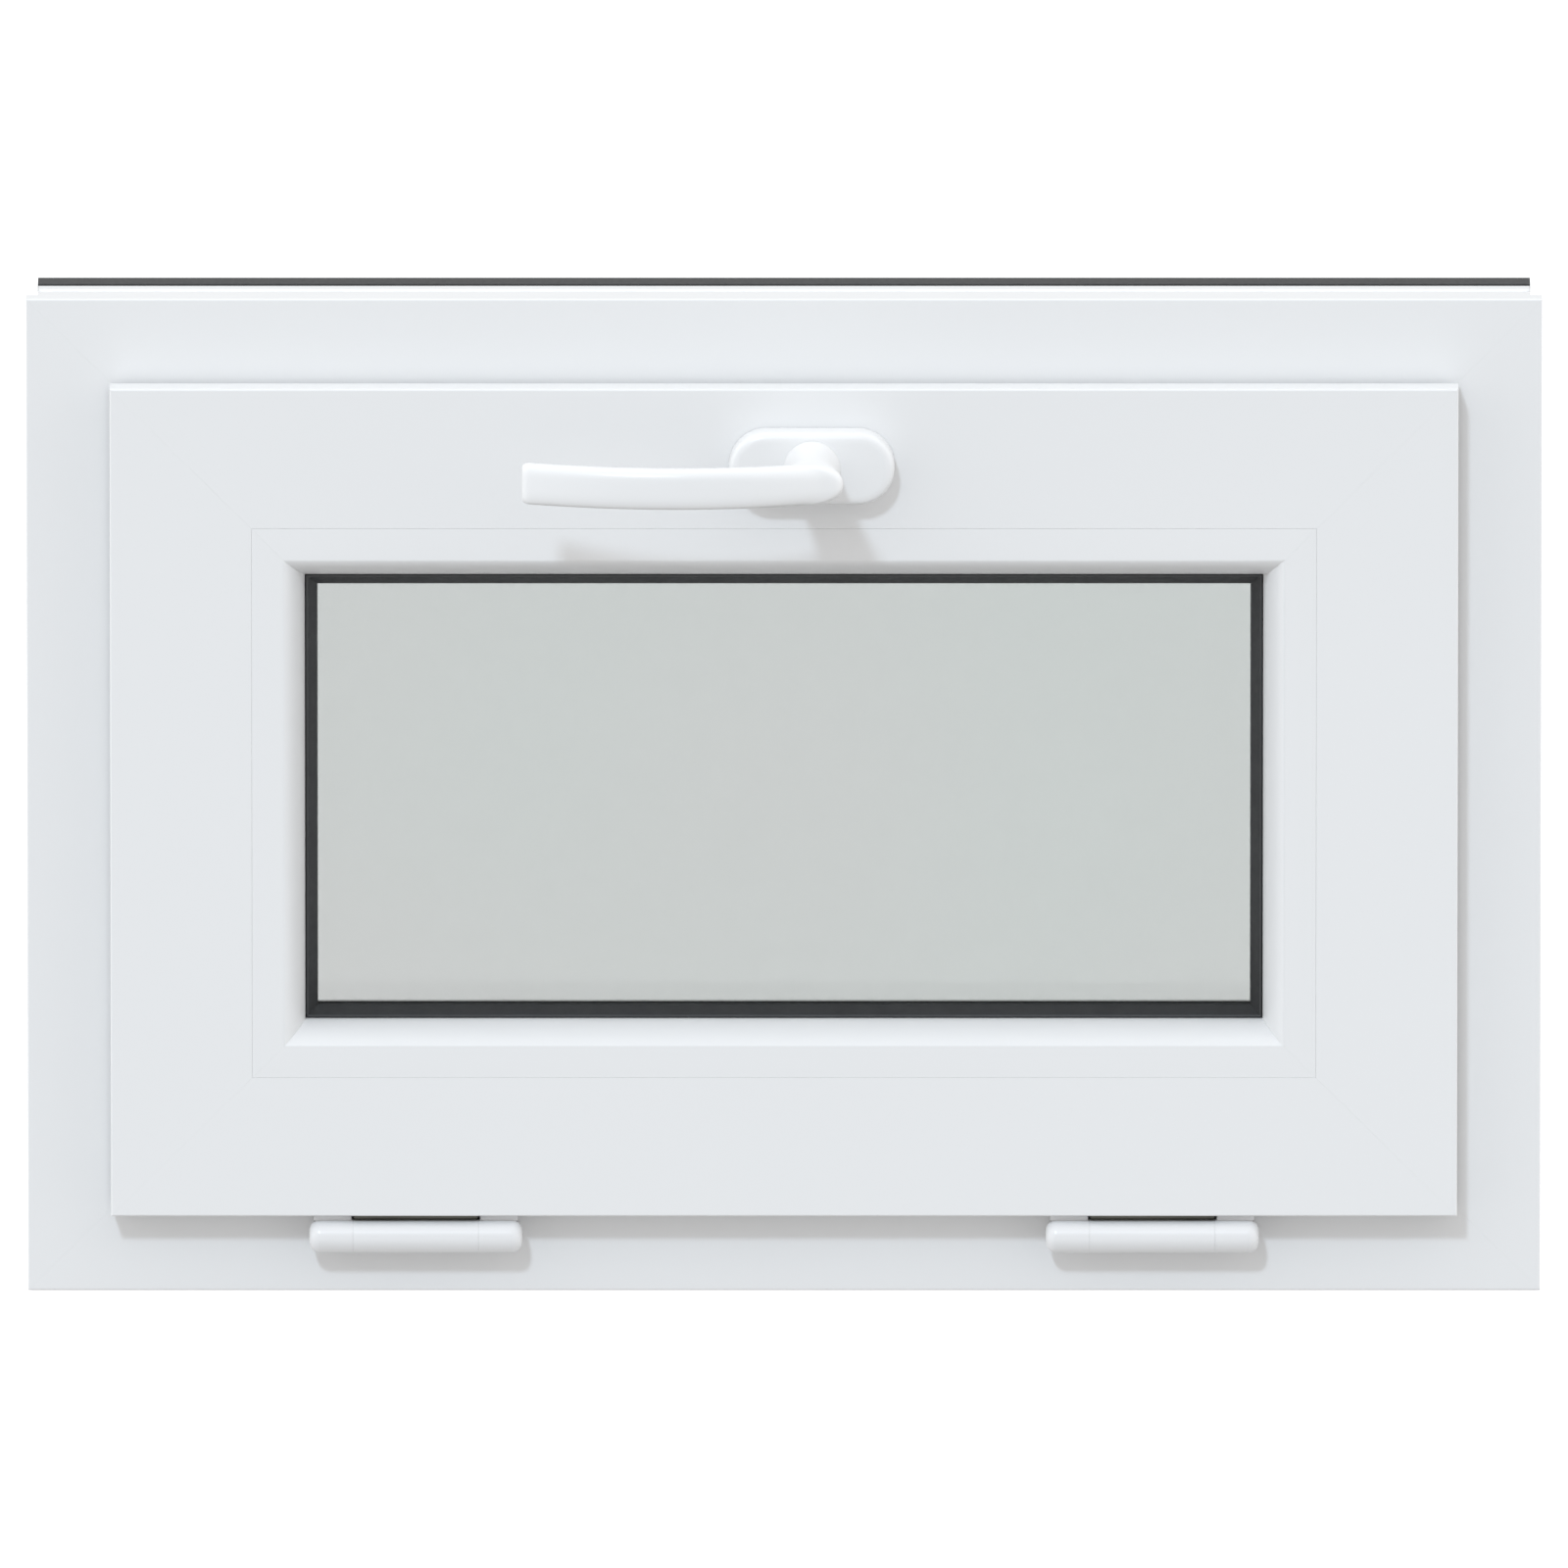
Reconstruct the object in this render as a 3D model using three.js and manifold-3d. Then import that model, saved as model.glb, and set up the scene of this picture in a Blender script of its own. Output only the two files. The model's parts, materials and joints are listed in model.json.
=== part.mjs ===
// Bottom-hung tilt window in white PVC, 600 x 400 mm, room side towards -Y.
// Millimetres, +Z up, origin at the middle of the face that the window stands on.
//
// Profiles are drawn in two coordinates: u runs from the frame's outer edge towards the middle
// of the glass, and v runs from the room to the outside, so v is also the model's Y.
import * as THREE from "three";
import { mergeVertices } from "three/addons/utils/BufferGeometryUtils.js";
import Module from "manifold-3d";

const wasm = await Module();
wasm.setup();

// ---------------------------------------------------------------- driving dimensions

const WIDTH = 600;
const HEIGHT = 400;
const FIT = 0.3; // gap between two pieces that touch
const WALL = 2.8; // wall of the extruded PVC profiles

// Frame profile
const FRAME_FRONT = -35;
const FRAME_BACK = 35;
const FRAME_LIP_BACK = -25; // the full-size front lip ends here
const FRAME_INSET = 4.5; // the rest of the outer side lies this far in
const SEAL_SEAT = 7; // seat of the perimeter seal, behind SEAL_FRONT
const SEAL_FRONT = 18;
const FRAME_REBATE = 41.3;
const FRAME_LEG = 62;
const FRAME_STOP = 15; // room side of the outside leg

// Sash profile
const SASH_EDGE = 33.3;
const SASH_FRONT = -51.5;
const SASH_LIP_BACK = -37.5;
const SASH_BODY = 53.3;
const SASH_STOP = 11; // this face closes on the frame gasket
const SASH_STEP = 64;
const SASH_BACK = 18.5;
const GROOVE_FLOOR = 62;
const GROOVE_WIDTH = 12.6;
const GROOVE_V = -24.5; // middle of the hardware groove

// Glazing
const BEAD_LINE = 89.3;
const BEAD_LEDGE = -40;
const BEAD_FLAT_END = 101.8;
const BEAD_EDGE = 110.3;
const BEAD_SHOULDER = -36.5;
const REBATE_BASE = 92;
const GLASS_EDGE = 97;
const GLASS_FRONT = -28.5;
const PANE = 4;
const GLASS_BACK = GLASS_FRONT + 24;
const GLAZING_LEG = -1.5; // room side of the outside glazing leg
const SIGHT_LINE = 115.3; // inner edge of the black glazing gasket

// Hinges
const HINGE_Y = -45.5;
const HINGE_Z = 24.1;
const HINGE_SPAN = 292;
const KNUCKLE_RADIUS = 6.3;
const BARREL_RADIUS = 6.5;
const CENTRE_KNUCKLE = 49.5;
const BARREL_LENGTH = 84.5;
const CAP_DEPTH = 4; // length of each domed end
const PIN_RADIUS = 2.7;

// Handle and its drive
const HANDLE_X = 11;
const HANDLE_Z = HEIGHT - SASH_EDGE - 30;
const ROSETTE = { length: 65.5, width: 29.5, height: 12 };
const LEVER = { left: -114.4, right: 10, back: 52, bow: 13, rise: 3.2, thickness: 10, width: 16.2 };
const NECK_RADIUS = 9.75;
const FOOT_RADIUS = 11.4; // where the neck flares against the rosette
const SPINDLE = 7;
const SCREW_SPACING = 43;
const PINION_TEETH = 8;
const PINION_PITCH_RADIUS = 7.9;
const RACK_PITCH = (2 * Math.PI * PINION_PITCH_RADIUS) / PINION_TEETH;
const ROD_TRAVEL = (Math.PI / 2) * PINION_PITCH_RADIUS;
const ROD = { bottom: HANDLE_Z + 6.7, thickness: 2.5, width: 10, length: 330 };
const CAM_X = 150;
const FACEPLATE_TOP = HEIGHT - SASH_BODY + 2.1;

// Tilt-limiting stays, one in each side gap
const STAY_PIVOT_Z = HINGE_Z + 120;
const STAY_ARM = 90.5;
const STAY_SLIDE = 47; // how far the peg travels along the track
const PEG_RADIUS = 2.3;

// ---------------------------------------------------------------- materials

const plain = (color, roughness, metalness = 0) => ({ color, roughness, metalness });
const WHITE_PVC = plain(0xe6eaec, 0.32);
const WHITE_METAL = plain(0xf2f4f5, 0.28, 0.1);
const BLACK_RUBBER = plain(0x1c1e1f, 0.7);
const GREY_RUBBER = plain(0x5a5b5c, 0.75);
const STEEL = plain(0x9a9c9b, 0.4, 0.9);
const DARK_STEEL = plain(0x4a4a44, 0.5, 0.7);
const ALUMINIUM = plain(0xb8babb, 0.35, 0.9);
const GLASS = plain(0xc9cdcb, 0.05);
const PACKER = plain(0x3a6a9a, 0.6);

// ---------------------------------------------------------------- geometry helpers

/** Joins the vertices that faces share, so that the mesh is one closed surface. */
function welded(geometry) {
  const bare = geometry.index ? geometry.toNonIndexed() : geometry.clone();
  bare.deleteAttribute("normal");
  bare.deleteAttribute("uv");
  return mergeVertices(bare, 1e-4);
}

function toSolid(geometry) {
  const mesh = welded(geometry);
  const vertProperties = new Float32Array(mesh.attributes.position.array);
  const triVerts = new Uint32Array(mesh.index.array);
  return new wasm.Manifold(new wasm.Mesh({ numProp: 3, vertProperties, triVerts }));
}

function toGeometry(solid) {
  const mesh = solid.getMesh();
  const geometry = new THREE.BufferGeometry();
  geometry.setAttribute("position", new THREE.BufferAttribute(mesh.vertProperties, 3));
  geometry.setIndex(new THREE.BufferAttribute(mesh.triVerts, 1));
  geometry.computeVertexNormals();
  return geometry;
}

/** Cuts every tool from the first geometry. */
function cut(geometry, ...tools) {
  return toGeometry(tools.reduce((solid, tool) => solid.subtract(toSolid(tool)), toSolid(geometry)));
}

/** Joins overlapping geometries into one. */
function join(...pieces) {
  return toGeometry(pieces.map(toSolid).reduce((whole, piece) => whole.add(piece)));
}

function box(x0, x1, y0, y1, z0, z1) {
  const size = new THREE.BoxGeometry(x1 - x0, y1 - y0, z1 - z0);
  return size.translate((x0 + x1) / 2, (y0 + y1) / 2, (z0 + z1) / 2);
}

/** A cylinder from start to end along "x", "y" or "z"; a and b place it on the other two axes. */
function cylinder(axis, radius, start, end, a = 0, b = 0, sides = 24) {
  const geometry = new THREE.CylinderGeometry(radius, radius, end - start, sides);
  const middle = (start + end) / 2;
  if (axis === "x") return geometry.rotateZ(-Math.PI / 2).translate(middle, a, b);
  if (axis === "z") return geometry.rotateX(Math.PI / 2).translate(a, b, middle);
  return geometry.translate(a, middle, b);
}

/** The same stretch of X on the right (sign 1) or the left (sign -1). */
const mirrored = (sign, from, to) => (sign > 0 ? [from, to] : [-to, -from]);

const polygon = (points) => new THREE.Shape(points.map(([x, y]) => new THREE.Vector2(x, y)));
const rectangle = (x0, x1, y0, y1) => polygon([[x0, y0], [x1, y0], [x1, y1], [x0, y1]]);

function withHoles(shape, ...holes) {
  shape.holes.push(...holes);
  return shape;
}

/** A bar with round ends, drawn about the origin along X. */
function stadium(length, width, bore = 0) {
  const half = (length - width) / 2;
  const shape = new THREE.Shape();
  shape.moveTo(-half, -width / 2);
  shape.lineTo(half, -width / 2);
  shape.absarc(half, 0, width / 2, -Math.PI / 2, Math.PI / 2);
  shape.lineTo(-half, width / 2);
  shape.absarc(-half, 0, width / 2, Math.PI / 2, (3 * Math.PI) / 2);
  if (bore) shape.holes.push(new THREE.Path().absarc(0, 0, bore, 0, 2 * Math.PI));
  return shape;
}

const extrude = (shape, depth, more = {}) =>
  new THREE.ExtrudeGeometry(shape, { depth, bevelEnabled: false, curveSegments: 8, ...more });

/** A shape drawn in X and Z, standing out towards the room from y = start by depth. */
const towardsRoom = (shape, start, depth, more) =>
  extrude(shape, depth, more).rotateX(Math.PI / 2).translate(0, start, 0);

// The four sides: how long each is, and how far it is turned about Y from the bottom one.
const SIDES = {
  bottom: { run: WIDTH, drop: HEIGHT / 2, turn: 0 },
  right: { run: HEIGHT, drop: WIDTH / 2, turn: -Math.PI / 2 },
  top: { run: WIDTH, drop: HEIGHT / 2, turn: Math.PI },
  left: { run: HEIGHT, drop: WIDTH / 2, turn: Math.PI / 2 },
};

/** A shape in u and v swept along the bottom between mitre cuts, about the window's middle. */
function mitredSweep(shape, { run, drop }, gap) {
  const geometry = extrude(shape, 1);
  const position = geometry.attributes.position;
  for (let i = 0; i < position.count; i++) {
    const u = position.getX(i);
    const along = (1 - 2 * position.getZ(i)) * (run / 2 - u - gap / 2);
    position.setXYZ(i, along, position.getY(i), u - drop);
  }
  return geometry;
}

/** One side of a mitred rectangle of hollow profile; its chambers are open at both ends. */
function mitredLength({ outline, chambers }, placing, gap = FIT) {
  const hollows = chambers.map((chamber) => mitredSweep(chamber, placing, gap - 2));
  return cut(mitredSweep(outline, placing, gap), ...hollows);
}

/** A profile carried all round the window in one piece, such as a gasket. */
function ring(points) {
  const outline = points.map(([u, v]) => new THREE.Vector2(u, v));
  if (THREE.ShapeUtils.isClockWise(outline)) outline.reverse();
  const corners = [[1, -1], [-1, -1], [-1, 1], [1, 1]];
  const vertices = corners.flatMap(([sx, sz]) =>
    outline.flatMap(({ x: u, y: v }) => [sx * (WIDTH / 2 - u), v, sz * (HEIGHT / 2 - u)]));
  const n = outline.length;
  const index = [];
  for (let corner = 0; corner < 4; corner++) {
    for (let j = 0; j < n; j++) {
      const a = corner * n + j;
      const b = corner * n + ((j + 1) % n);
      const next = (vertex) => (vertex + n) % (4 * n);
      index.push(a, b, next(b), a, next(b), next(a));
    }
  }
  const geometry = new THREE.BufferGeometry();
  geometry.setAttribute("position", new THREE.Float32BufferAttribute(vertices, 3));
  geometry.setIndex(index);
  geometry.computeVertexNormals();
  return geometry;
}

function part(name, geometry, finish, parent) {
  const mesh = new THREE.Mesh(geometry, new THREE.MeshStandardMaterial(finish));
  mesh.name = name;
  parent.add(mesh);
  return mesh;
}

// ---------------------------------------------------------------- profiles

/** Frame: a Z-shaped hollow profile, with the room leg low and the outside leg high. */
function frameProfile() {
  const legTip = FRAME_LEG - 8;
  const legShoulder = FRAME_STOP + 7;
  const outline = polygon([
    [0, FRAME_FRONT], [FRAME_REBATE, FRAME_FRONT], [FRAME_REBATE, FRAME_STOP], [FRAME_LEG, FRAME_STOP],
    [FRAME_LEG, legShoulder], [legTip, FRAME_BACK], [SEAL_SEAT, FRAME_BACK], [SEAL_SEAT, SEAL_FRONT],
    [FRAME_INSET, SEAL_FRONT], [FRAME_INSET, FRAME_LIP_BACK], [0, FRAME_LIP_BACK],
  ]);
  const outer = FRAME_INSET + WALL;
  const inner = FRAME_REBATE - WALL;
  const chambers = [
    rectangle(outer, inner, FRAME_FRONT + WALL, FRAME_STEEL.v0 - FIT - WALL),
    rectangle(outer, inner, FRAME_STEEL.v0 - FIT, FRAME_STEEL.v1 + FIT),
    rectangle(SEAL_SEAT + WALL, inner, FRAME_STEEL.v1 + FIT + WALL, FRAME_BACK - WALL),
    polygon([
      [FRAME_REBATE, FRAME_STOP + WALL], [FRAME_LEG - WALL, FRAME_STOP + WALL],
      [FRAME_LEG - WALL, legShoulder - 0.8], [legTip - 1.7, FRAME_BACK - WALL],
      [FRAME_REBATE, FRAME_BACK - WALL],
    ]),
  ];
  return { outline, chambers };
}
const FRAME_STEEL = {
  u0: FRAME_INSET + WALL + FIT,
  u1: FRAME_REBATE - WALL - FIT,
  v0: -20.9,
  v1: 7.7,
  length: WIDTH - 2 * FRAME_REBATE - 14,
};

/** Sash: overlaps the frame on the room side and holds the glass behind its bead. */
function sashProfile() {
  const groove0 = GROOVE_V - GROOVE_WIDTH / 2;
  const groove1 = GROOVE_V + GROOVE_WIDTH / 2;
  const tip = BEAD_EDGE - 6.3;
  const shoulder = 4;
  const outline = polygon([
    [SASH_EDGE, SASH_FRONT], [BEAD_LINE, SASH_FRONT], [BEAD_LINE, BEAD_LEDGE],
    [REBATE_BASE, BEAD_LEDGE], [REBATE_BASE, GLAZING_LEG], [BEAD_EDGE, GLAZING_LEG],
    [BEAD_EDGE, shoulder], [tip, SASH_BACK], [SASH_STEP, SASH_BACK], [SASH_STEP, SASH_STOP],
    [SASH_BODY, SASH_STOP], [SASH_BODY, groove1], [GROOVE_FLOOR, groove1],
    [GROOVE_FLOOR, groove0], [SASH_BODY, groove0], [SASH_BODY, SASH_LIP_BACK],
    [SASH_EDGE, SASH_LIP_BACK],
  ]);
  const front = [SASH_FRONT + WALL, SASH_LIP_BACK - WALL];
  const inner = REBATE_BASE - WALL;
  const chambers = [
    rectangle(SASH_EDGE + WALL, SASH_BODY + WALL, ...front),
    rectangle(SASH_BODY + 2 * WALL, BEAD_LINE - WALL, ...front),
    rectangle(GROOVE_FLOOR + WALL, inner, SASH_LIP_BACK, groove1 - 0.1),
    rectangle(GROOVE_FLOOR + WALL, inner, SASH_STEEL.v0 - FIT, SASH_STEEL.v1 + FIT),
    rectangle(SASH_BODY + WALL, GROOVE_FLOOR, groove1 + WALL, SASH_STOP - WALL),
    rectangle(SASH_STEP + WALL, inner, SASH_STOP, SASH_BACK - WALL),
    polygon([
      [REBATE_BASE, GLAZING_LEG + WALL], [BEAD_EDGE - WALL, GLAZING_LEG + WALL],
      [BEAD_EDGE - WALL, shoulder - 0.6], [tip - 1.8, SASH_BACK - WALL],
      [REBATE_BASE, SASH_BACK - WALL],
    ]),
  ];
  return { outline, chambers };
}
const SASH_STEEL = {
  u0: GROOVE_FLOOR + WALL + FIT,
  u1: REBATE_BASE - WALL - FIT,
  v0: -15.2,
  v1: 7.9,
  length: WIDTH - 2 * REBATE_BASE - 12,
};

/** Glazing bead: flat next to the sash, then falling in a round shoulder to the gasket. */
function beadProfile() {
  const face = SASH_FRONT + FIT;
  const base = GLASS_FRONT - 3;
  const shape = new THREE.Shape();
  shape.moveTo(BEAD_LINE + FIT, face + 0.7);
  shape.lineTo(BEAD_LINE + 1, face);
  shape.lineTo(BEAD_FLAT_END, face);
  shape.absellipse(
    BEAD_FLAT_END, BEAD_SHOULDER, BEAD_EDGE - BEAD_FLAT_END, BEAD_SHOULDER - face, -Math.PI / 2, 0);
  shape.lineTo(BEAD_EDGE, base);
  shape.lineTo(REBATE_BASE + FIT, base);
  shape.lineTo(REBATE_BASE + FIT, BEAD_LEDGE - FIT);
  shape.lineTo(BEAD_LINE + FIT, BEAD_LEDGE - FIT);
  const chamberStart = REBATE_BASE + WALL;
  const chamber = polygon([
    [chamberStart, face + WALL], [BEAD_FLAT_END - 1, face + WALL],
    [BEAD_EDGE - WALL, BEAD_SHOULDER], [BEAD_EDGE - WALL, base - WALL], [chamberStart, base - WALL],
  ]);
  return { outline: shape, chambers: [chamber] };
}

/** Hollow reinforcing tube in one of the long profiles. */
function steelTube({ u0, u1, v0, v1, length }) {
  const thickness = 1.5;
  const bore = rectangle(u0 + thickness, u1 - thickness, v0 + thickness, v1 - thickness);
  return extrude(withHoles(rectangle(u0, u1, v0, v1), bore), length)
    .rotateY(-Math.PI / 2)
    .translate(length / 2, 0, -HEIGHT / 2);
}

// ---------------------------------------------------------------- frame

/** The four mitred lengths of one profile, each in a mesh of its own. */
function fourSides(prefix, profile, finish, parent) {
  const suffix = prefix === "glazing_bead" ? "" : "_profile";
  return Object.entries(SIDES).map(([side, placing]) => {
    const mesh = part(`${prefix}_${side}${suffix}`, mitredLength(profile, placing), finish, parent);
    mesh.rotation.y = placing.turn;
    return mesh;
  });
}

function addSteels(prefix, steel, parent) {
  for (const side of ["bottom", "top"]) {
    part(`${prefix}_${side}_steel`, steelTube(steel), STEEL, parent).rotation.y = SIDES[side].turn;
  }
}

/** Grey compressible seal along the back edge of the top and both sides. */
function perimeterSeal() {
  const outer = 4.2;
  const inner = SEAL_SEAT - FIT;
  const foot = SEAL_SEAT + FIT - HEIGHT / 2;
  const x0 = WIDTH / 2 - inner;
  const x1 = WIDTH / 2 - outer;
  const z0 = HEIGHT / 2 - inner;
  const z1 = HEIGHT / 2 - outer;
  const shape = polygon([
    [-x1, foot], [-x0, foot], [-x0, z0], [x0, z0], [x0, foot], [x1, foot], [x1, z1], [-x1, z1],
  ]);
  return towardsRoom(shape, FRAME_BACK - 0.6, 14);
}

/** Strip under the frame that levels it with the front lip. */
function sillStrip() {
  const low = FRAME_INSET - FIT;
  const high = SEAL_SEAT - FIT;
  const front = FRAME_LIP_BACK + FIT;
  const step = SEAL_FRONT + FIT;
  const length = WIDTH - 2 * FRAME_INSET;
  const shape = polygon([
    [0, front], [low, front], [low, step], [high, step], [high, FRAME_BACK], [0, FRAME_BACK],
  ]);
  return extrude(shape, length).rotateY(-Math.PI / 2).translate(length / 2, 0, 0);
}

/** Cap over a drain slot on the outside face. */
function drainCap() {
  const cap = { length: 34, width: 9, height: 2.2, bevel: 0.8 };
  const flat = stadium(cap.length - 2 * cap.bevel, cap.width - 2 * cap.bevel);
  const options = {
    bevelEnabled: true, bevelThickness: cap.bevel, bevelSize: cap.bevel, bevelSegments: 1, curveSegments: 5,
  };
  return extrude(flat, cap.height, options).rotateX(-Math.PI / 2);
}

/** Plate that a locking cam runs under, with a lug behind the cam. */
function striker() {
  const length = 50;
  const top = HEIGHT - FRAME_REBATE - FIT;
  const plate = box(-length / 2, length / 2, -33, -15, top - 2, top);
  const lug = box(-length / 2, length / 2, -18.5, -15, 351.5, top - 1);
  return join(plate, lug);
}

function addFrame(root) {
  const middle = new THREE.Group();
  middle.position.z = HEIGHT / 2;
  root.add(middle);
  fourSides("frame", frameProfile(), WHITE_PVC, middle);
  addSteels("frame", FRAME_STEEL, middle);
  const gasket = { u0: 55, u1: 61, v0: SASH_STOP + FIT, v1: FRAME_STOP - FIT };
  part("frame_gasket", ring([
    [gasket.u0, gasket.v1], [gasket.u0 + 1.5, gasket.v0],
    [gasket.u1 - 1.5, gasket.v0], [gasket.u1, gasket.v1],
  ]), BLACK_RUBBER, middle);
  part("perimeter_seal", perimeterSeal(), GREY_RUBBER, middle);
  part("sill_strip", sillStrip(), WHITE_PVC, root);
  for (const [side, sign] of [["left", -1], ["right", 1]]) {
    part(`drain_cap_${side}`, drainCap(), WHITE_PVC, root)
      .position.set(sign * WIDTH / 4, FRAME_BACK + FIT + 0.8, 24);
    part(`striker_${side}`, striker(), STEEL, root).position.x = sign * CAM_X - ROD_TRAVEL / 2;
  }
}

// ---------------------------------------------------------------- sash and glazing

/** Openings in the top length: gearbox pocket, spindle hole and two screw holes. */
function topSashProfile() {
  const z = HEIGHT / 2 - HANDLE_Z;
  const x = -HANDLE_X;
  const drill = (radius, at) => cylinder("y", radius, SASH_FRONT - 1, GROOVE_V - 5, at, z);
  return cut(
    mitredLength(sashProfile(), SIDES.top),
    box(x - 26.4, x + 26.4, GROOVE_V - 6.2, GROOVE_V + 6.1, z - 5, z + 1.5),
    drill(6, x),
    drill(2.8, x - SCREW_SPACING / 2),
    drill(2.8, x + SCREW_SPACING / 2),
  );
}

/** Rail in the side groove, with a closed slot that the stay's peg slides along. */
function stayTrack(sign) {
  const pegTop = STAY_PIVOT_Z + STAY_ARM;
  const end = 5;
  const slack = PEG_RADIUS + 1.1;
  const out = WIDTH / 2 - SASH_BODY - FIT;
  const deep = out - 8;
  const slotHalf = PEG_RADIUS + 0.4;
  const slotTop = pegTop + slack;
  const slotBottom = pegTop - STAY_SLIDE - slack;
  return cut(
    box(...mirrored(sign, deep, out), GROOVE_V - 6, GROOVE_V + 6, slotBottom - end, slotTop + end),
    box(
      ...mirrored(sign, deep + 1.5, out + 1),
      GROOVE_V - slotHalf, GROOVE_V + slotHalf, slotBottom, slotTop,
    ),
  );
}

function addGlazing(middle, root) {
  fourSides("glazing_bead", beadProfile(), WHITE_PVC, middle);
  const heel = GLASS_FRONT - FIT;
  part("glazing_bead_gasket", ring([
    [106, heel - 2.4], [106, heel], [SIGHT_LINE, heel], [SIGHT_LINE, heel - 1.6],
    [BEAD_EDGE + 0.6, BEAD_SHOULDER], [BEAD_EDGE + FIT, BEAD_SHOULDER], [BEAD_EDGE + FIT, heel - 2.4],
  ]), BLACK_RUBBER, middle);
  const back = GLASS_BACK + FIT;
  part("outer_glazing_gasket", ring([
    [101, back], [112.6, back], [112, GLAZING_LEG - FIT], [101, GLAZING_LEG - FIT],
  ]), BLACK_RUBBER, middle);

  const paneX = WIDTH / 2 - GLASS_EDGE;
  const paneZ = HEIGHT / 2 - GLASS_EDGE;
  const pane = (y) => box(-paneX, paneX, y, y + PANE, -paneZ, paneZ);
  part("inner_pane", pane(GLASS_FRONT), GLASS, middle);
  part("outer_pane", pane(GLASS_BACK - PANE), GLASS, middle);
  const inside = [GLASS_FRONT + PANE + FIT, GLASS_BACK - PANE - FIT];
  const band = (u0, u1) => ring([[u0, inside[0]], [u1, inside[0]], [u1, inside[1]], [u0, inside[1]]]);
  part("glass_edge_seal", band(GLASS_EDGE + FIT, 103), BLACK_RUBBER, middle);
  part("glass_spacer", band(103 + FIT, 109.5), ALUMINIUM, middle);
  for (const [side, sign] of [["left", -1], ["right", 1]]) {
    const x = sign * 130;
    part(`glazing_packer_${side}`,
      box(x - 30, x + 30, GLASS_FRONT + 0.5, GLASS_BACK - 0.5, REBATE_BASE + FIT, GLASS_EDGE - FIT),
      PACKER, root);
  }
}

function addSash(root) {
  const middle = new THREE.Group();
  middle.position.z = HEIGHT / 2;
  root.add(middle);
  const sides = fourSides("sash", sashProfile(), WHITE_PVC, middle);
  sides.find((mesh) => mesh.name === "sash_top_profile").geometry = topSashProfile();
  addSteels("sash", SASH_STEEL, middle);
  part("sash_gasket", ring([
    [35.5, SASH_LIP_BACK + FIT], [41, SASH_LIP_BACK + FIT],
    [39.5, FRAME_FRONT - FIT], [37, FRAME_FRONT - FIT],
  ]), BLACK_RUBBER, middle);
  addGlazing(middle, root);
  for (const [side, sign] of [["left", -1], ["right", 1]]) {
    part(`stay_track_${side}`, stayTrack(sign), STEEL, root);
  }
}

// ---------------------------------------------------------------- hinges

/** Two outer knuckles on a plate that is fixed to the face of the frame, behind the barrel. */
function hingeFrameLeaf() {
  const inner = CENTRE_KNUCKLE / 2 + FIT;
  const outer = BARREL_LENGTH / 2 - CAP_DEPTH;
  const face = FRAME_FRONT - FIT - HINGE_Y;
  const bodies = [box(-outer, outer, face - 2.9, face, -6, 5.6)];
  for (const [x0, x1] of [[-outer, -inner], [inner, outer]]) {
    bodies.push(cylinder("x", KNUCKLE_RADIUS, x0, x1));
    bodies.push(box(x0, x1, 3.5, face - 2, -4, 4));
  }
  return cut(join(...bodies), cylinder("x", PIN_RADIUS + FIT, -outer - 1, outer + 1));
}

/** Centre knuckle with a flange that is screwed up into the sash lip. */
function hingeSashLeaf() {
  const half = CENTRE_KNUCKLE / 2;
  const flangeTop = SASH_EDGE - FIT - HINGE_Z;
  return cut(
    join(
      cylinder("x", KNUCKLE_RADIUS, -half, half),
      box(-half, half, -3, 3, 4, flangeTop - 1),
      box(-half, half, -4.5, 6.5, flangeTop - 1.6, flangeTop),
    ),
    cylinder("x", PIN_RADIUS + FIT, -half - 1, half + 1),
  );
}

/** Domed end of the barrel, turned about X. */
function hingeCap(sign) {
  const depth = CAP_DEPTH - FIT;
  const profile = new THREE.Path();
  const round = 3;
  profile.moveTo(0, 0);
  profile.lineTo(BARREL_RADIUS, 0);
  profile.lineTo(BARREL_RADIUS, depth - round);
  profile.absarc(BARREL_RADIUS - round, depth - round, round, 0, Math.PI / 2);
  profile.lineTo(0, depth);
  const turned = new THREE.LatheGeometry(profile.getPoints(4), 24);
  return turned.rotateZ((-sign * Math.PI) / 2).translate(sign * (BARREL_LENGTH / 2 - depth), 0, 0);
}

function addHinges(root) {
  for (const [side, sign] of [["left", -1], ["right", 1]]) {
    const hinge = new THREE.Group();
    hinge.position.set((sign * HINGE_SPAN) / 2, HINGE_Y, HINGE_Z);
    root.add(hinge);
    const pinHalf = BARREL_LENGTH / 2 - CAP_DEPTH;
    part(`hinge_${side}_frame_leaf`, hingeFrameLeaf(), WHITE_METAL, hinge);
    part(`hinge_${side}_sash_leaf`, hingeSashLeaf(), DARK_STEEL, hinge);
    part(`hinge_${side}_pin`, cylinder("x", PIN_RADIUS, -pinHalf, pinHalf), STEEL, hinge);
    part(`hinge_${side}_cap_left`, hingeCap(-1), WHITE_METAL, hinge);
    part(`hinge_${side}_cap_right`, hingeCap(1), WHITE_METAL, hinge);
  }
}

// ---------------------------------------------------------------- handle and drive

// Places along Y in the handle's own group, whose origin is the spindle axis on the sash face.
const HOUSING = { front: 21.3, back: 32.7, top: 6.4, bottom: -16.7, half: 26 };
const PINION_FRONT = 24.3;
const PINION_THICKNESS = 5.4;

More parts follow.
